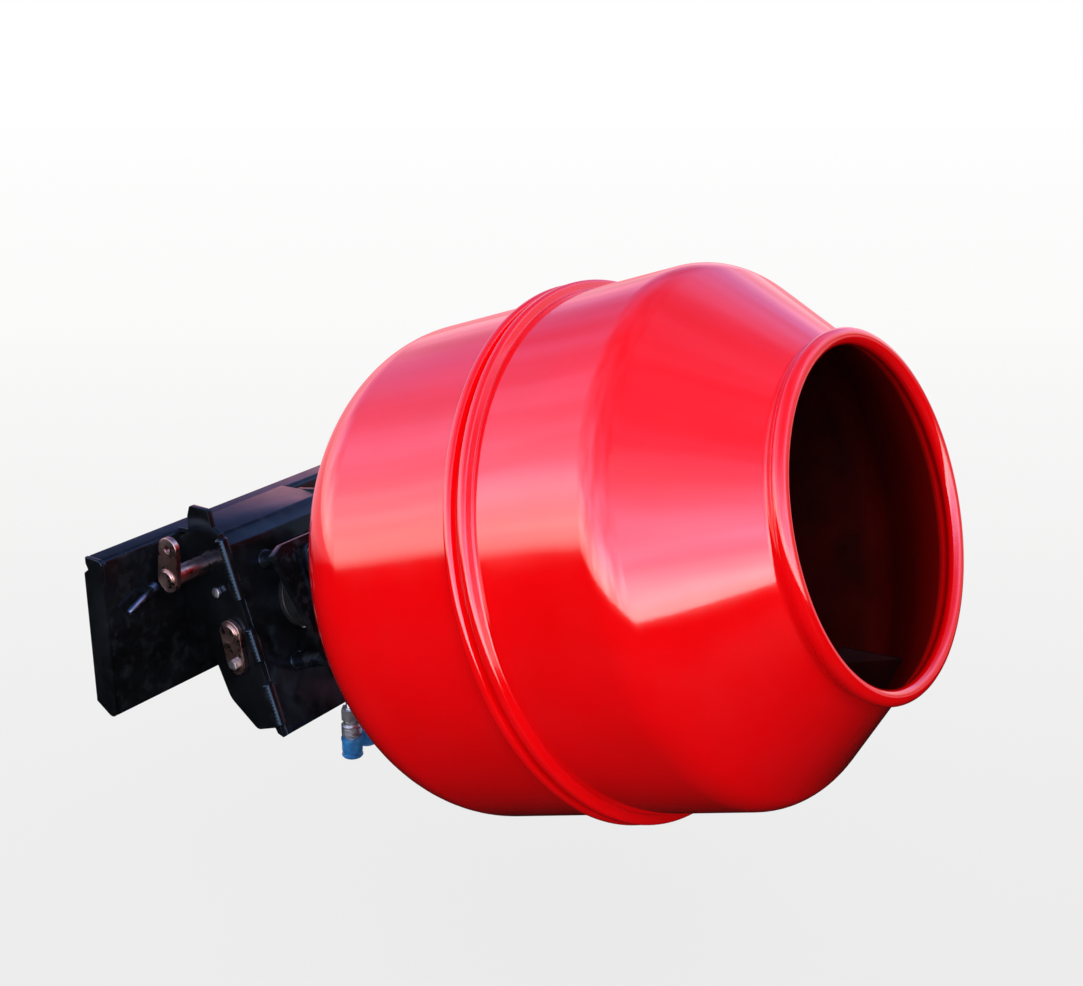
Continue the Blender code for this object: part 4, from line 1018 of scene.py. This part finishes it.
def cap_profile():
    """A dust cap with a soft rim and a grip groove near its closed end."""
    inside = COUPLING_RADIUS + GAP
    high = CAP_LOW + CAP_LENGTH
    return [
        (0.0, CAP_FLOOR),
        (inside - 0.001, CAP_FLOOR),
        (inside, CAP_FLOOR + 0.001),
        (inside, high),
        (CAP_RADIUS - 0.0012, high),
        (CAP_RADIUS - 0.0003, high - 0.0004),
        (CAP_RADIUS, high - 0.0014),
        (CAP_RADIUS, high - 0.0040),
        (CAP_RADIUS - 0.0008, high - 0.0048),
        (CAP_RADIUS - 0.0008, CAP_LOW + 0.0095),
        (CAP_RADIUS - 0.0024, CAP_LOW + 0.0075),
        (CAP_RADIUS - 0.0024, CAP_LOW + 0.0060),
        (CAP_RADIUS - 0.0004, CAP_LOW + 0.0042),
        (CAP_RADIUS - 0.0003, CAP_LOW + 0.0028),
        (CAP_RADIUS - 0.0016, CAP_LOW + 0.0010),
        (CAP_RADIUS - 0.0042, CAP_LOW),
        (0.0, CAP_LOW),
    ]


def sleeve_profile():
    """The female coupling's sleeve, with a band of grip grooves."""
    bore = COUPLING_RADIUS + GAP
    low = SLEEVE_HIGH - SLEEVE_LENGTH
    chamfer = 0.0012
    depth = 0.0008
    path = [
        (bore, SLEEVE_HIGH),
        (SLEEVE_RADIUS - chamfer, SLEEVE_HIGH),
        (SLEEVE_RADIUS, SLEEVE_HIGH - chamfer),
    ]
    for step in range(4):
        groove = SLEEVE_HIGH - 0.0040 - 0.0022 * step
        path += [
            (SLEEVE_RADIUS, groove),
            (SLEEVE_RADIUS - depth, groove - 0.0005),
            (SLEEVE_RADIUS - depth, groove - 0.0009),
            (SLEEVE_RADIUS, groove - 0.0014),
        ]
    return path + [
        (SLEEVE_RADIUS, low + chamfer),
        (SLEEVE_RADIUS - chamfer, low),
        (bore, low),
    ]


def barrel_profile():
    """A coupling body below its hexagon, down to the open end and up its bore."""
    top = -COUPLING_NUT
    end = -COUPLING_LENGTH
    return [
        (0.0, top + 0.002),
        (COUPLING_RADIUS - 0.0008, top + 0.002),
        (COUPLING_RADIUS - 0.0008, top - 0.0008),
        (COUPLING_RADIUS, top - 0.0016),
        (COUPLING_RADIUS, end + 0.0022),
        (COUPLING_RADIUS - 0.0004, end + 0.0010),
        (COUPLING_RADIUS - 0.0016, end),
        (COUPLING_BORE + 0.0006, end),
        (COUPLING_BORE, end + 0.0006),
        (COUPLING_BORE, -COUPLING_BORE_TOP),
        (0.0, -COUPLING_BORE_TOP),
    ]


def couplings():
    """Each coupling's barrel, hexagon, braze and dust cap, and the female one's sleeve."""
    middle = (0.0, 0.0)
    for name, (x, y) in COUPLINGS.items():
        place = Matrix.Translation((x, y, COUPLING_TOP))
        node_name = f"{name}_coupling_body"
        turned(node_name + "_barrel", barrel_profile(), place, "root", "zinc_steel", node_name)
        nut = flat_piece(node_name + "_nut", circle(middle, COUPLING_HEXAGON, 6), COUPLING_NUT,
                         [circle(middle, NUT_HOLE, 32)])
        nut.transform(place @ Matrix.Translation((0.0, 0.0, -COUPLING_NUT)))
        piece = add_piece(node_name + "_nut", nut, "root", "zinc_steel",
                          [MATERIALS["zinc_steel"]], node_name)
        soften(piece, MOULDED_EDGE)
        ring_weld(node_name + "_braze", place @ Matrix.Translation((0.0, 0.0, 0.0002)),
                  NUT_HOLE + 0.0002, BRAZE_RADIUS, "root", "zinc_steel")
        turned(f"{name}_dust_cap_moulded", cap_profile(), place, f"{name}_cap", "blue_plastic",
               f"{name}_dust_cap")
    x, y = COUPLINGS["female"]
    turned("coupling_sleeve_grooved", sleeve_profile(), Matrix.Translation((x, y, COUPLING_TOP)),
           "sleeve", "zinc_steel", "coupling_sleeve")


def carry_over(name):
    """A CAD node that keeps its shape takes its slot's material, and a blade takes the near-black
    painted shade of the drum's inside.
    """
    mesh = NODES[name].data
    mesh.materials.clear()
    mesh.materials.append(MATERIALS["blade" if name.startswith("blade_") else SLOT_OF[name]])


def locking_pin():
    """The spare pin parked in its keeper, turned from blued steel."""
    along = Vector((0.0, -math.cos(KEEPER_TILT), -math.sin(KEEPER_TILT)))
    forward = Vector((1.0, 0.0, 0.0))
    place = Matrix((forward, along.cross(forward), along)).transposed().to_4x4()
    place.translation = KEEPER_PLACE
    radius, out, head = 0.0045, 0.038, -0.0063
    head_radius = radius + 0.0030
    profile = [
        (0.0, out),
        (radius - 0.0019, out),
        (radius - 0.0009, out - 0.0006),
        (radius, out - 0.0026),
        (radius, head),
        (radius + 0.0024, head),
        (head_radius, head - 0.0006),
        (head_radius, head - 0.0078),
        (radius + 0.0020, head - 0.0098),
        (radius + 0.0006, head - 0.0110),
        (0.0, head - 0.0110),
    ]
    mesh = lathe("locking_pin_turned", profile, 48, closed=False)
    mesh.transform(place)
    blued = metal("blued_steel", (0.10, 0.135, 0.19), (0.20, 0.26, 0.36), 0.32, 0.45, 90.0)
    add_piece("locking_pin_turned", mesh, BODY_OF["locking_pin"], "zinc_steel",
              [blued], "locking_pin")


# ---------------------------------------------------------------- the model

drum_bowl()
drum_cone()
plates()
welds()
flag_pins()
motor()
standoffs()
couplings()
locking_pin()
for node_name in NODES:
    if not NODES[node_name].hide_render:
        carry_over(node_name)

bpy.context.scene.view_settings.view_transform = "Standard"
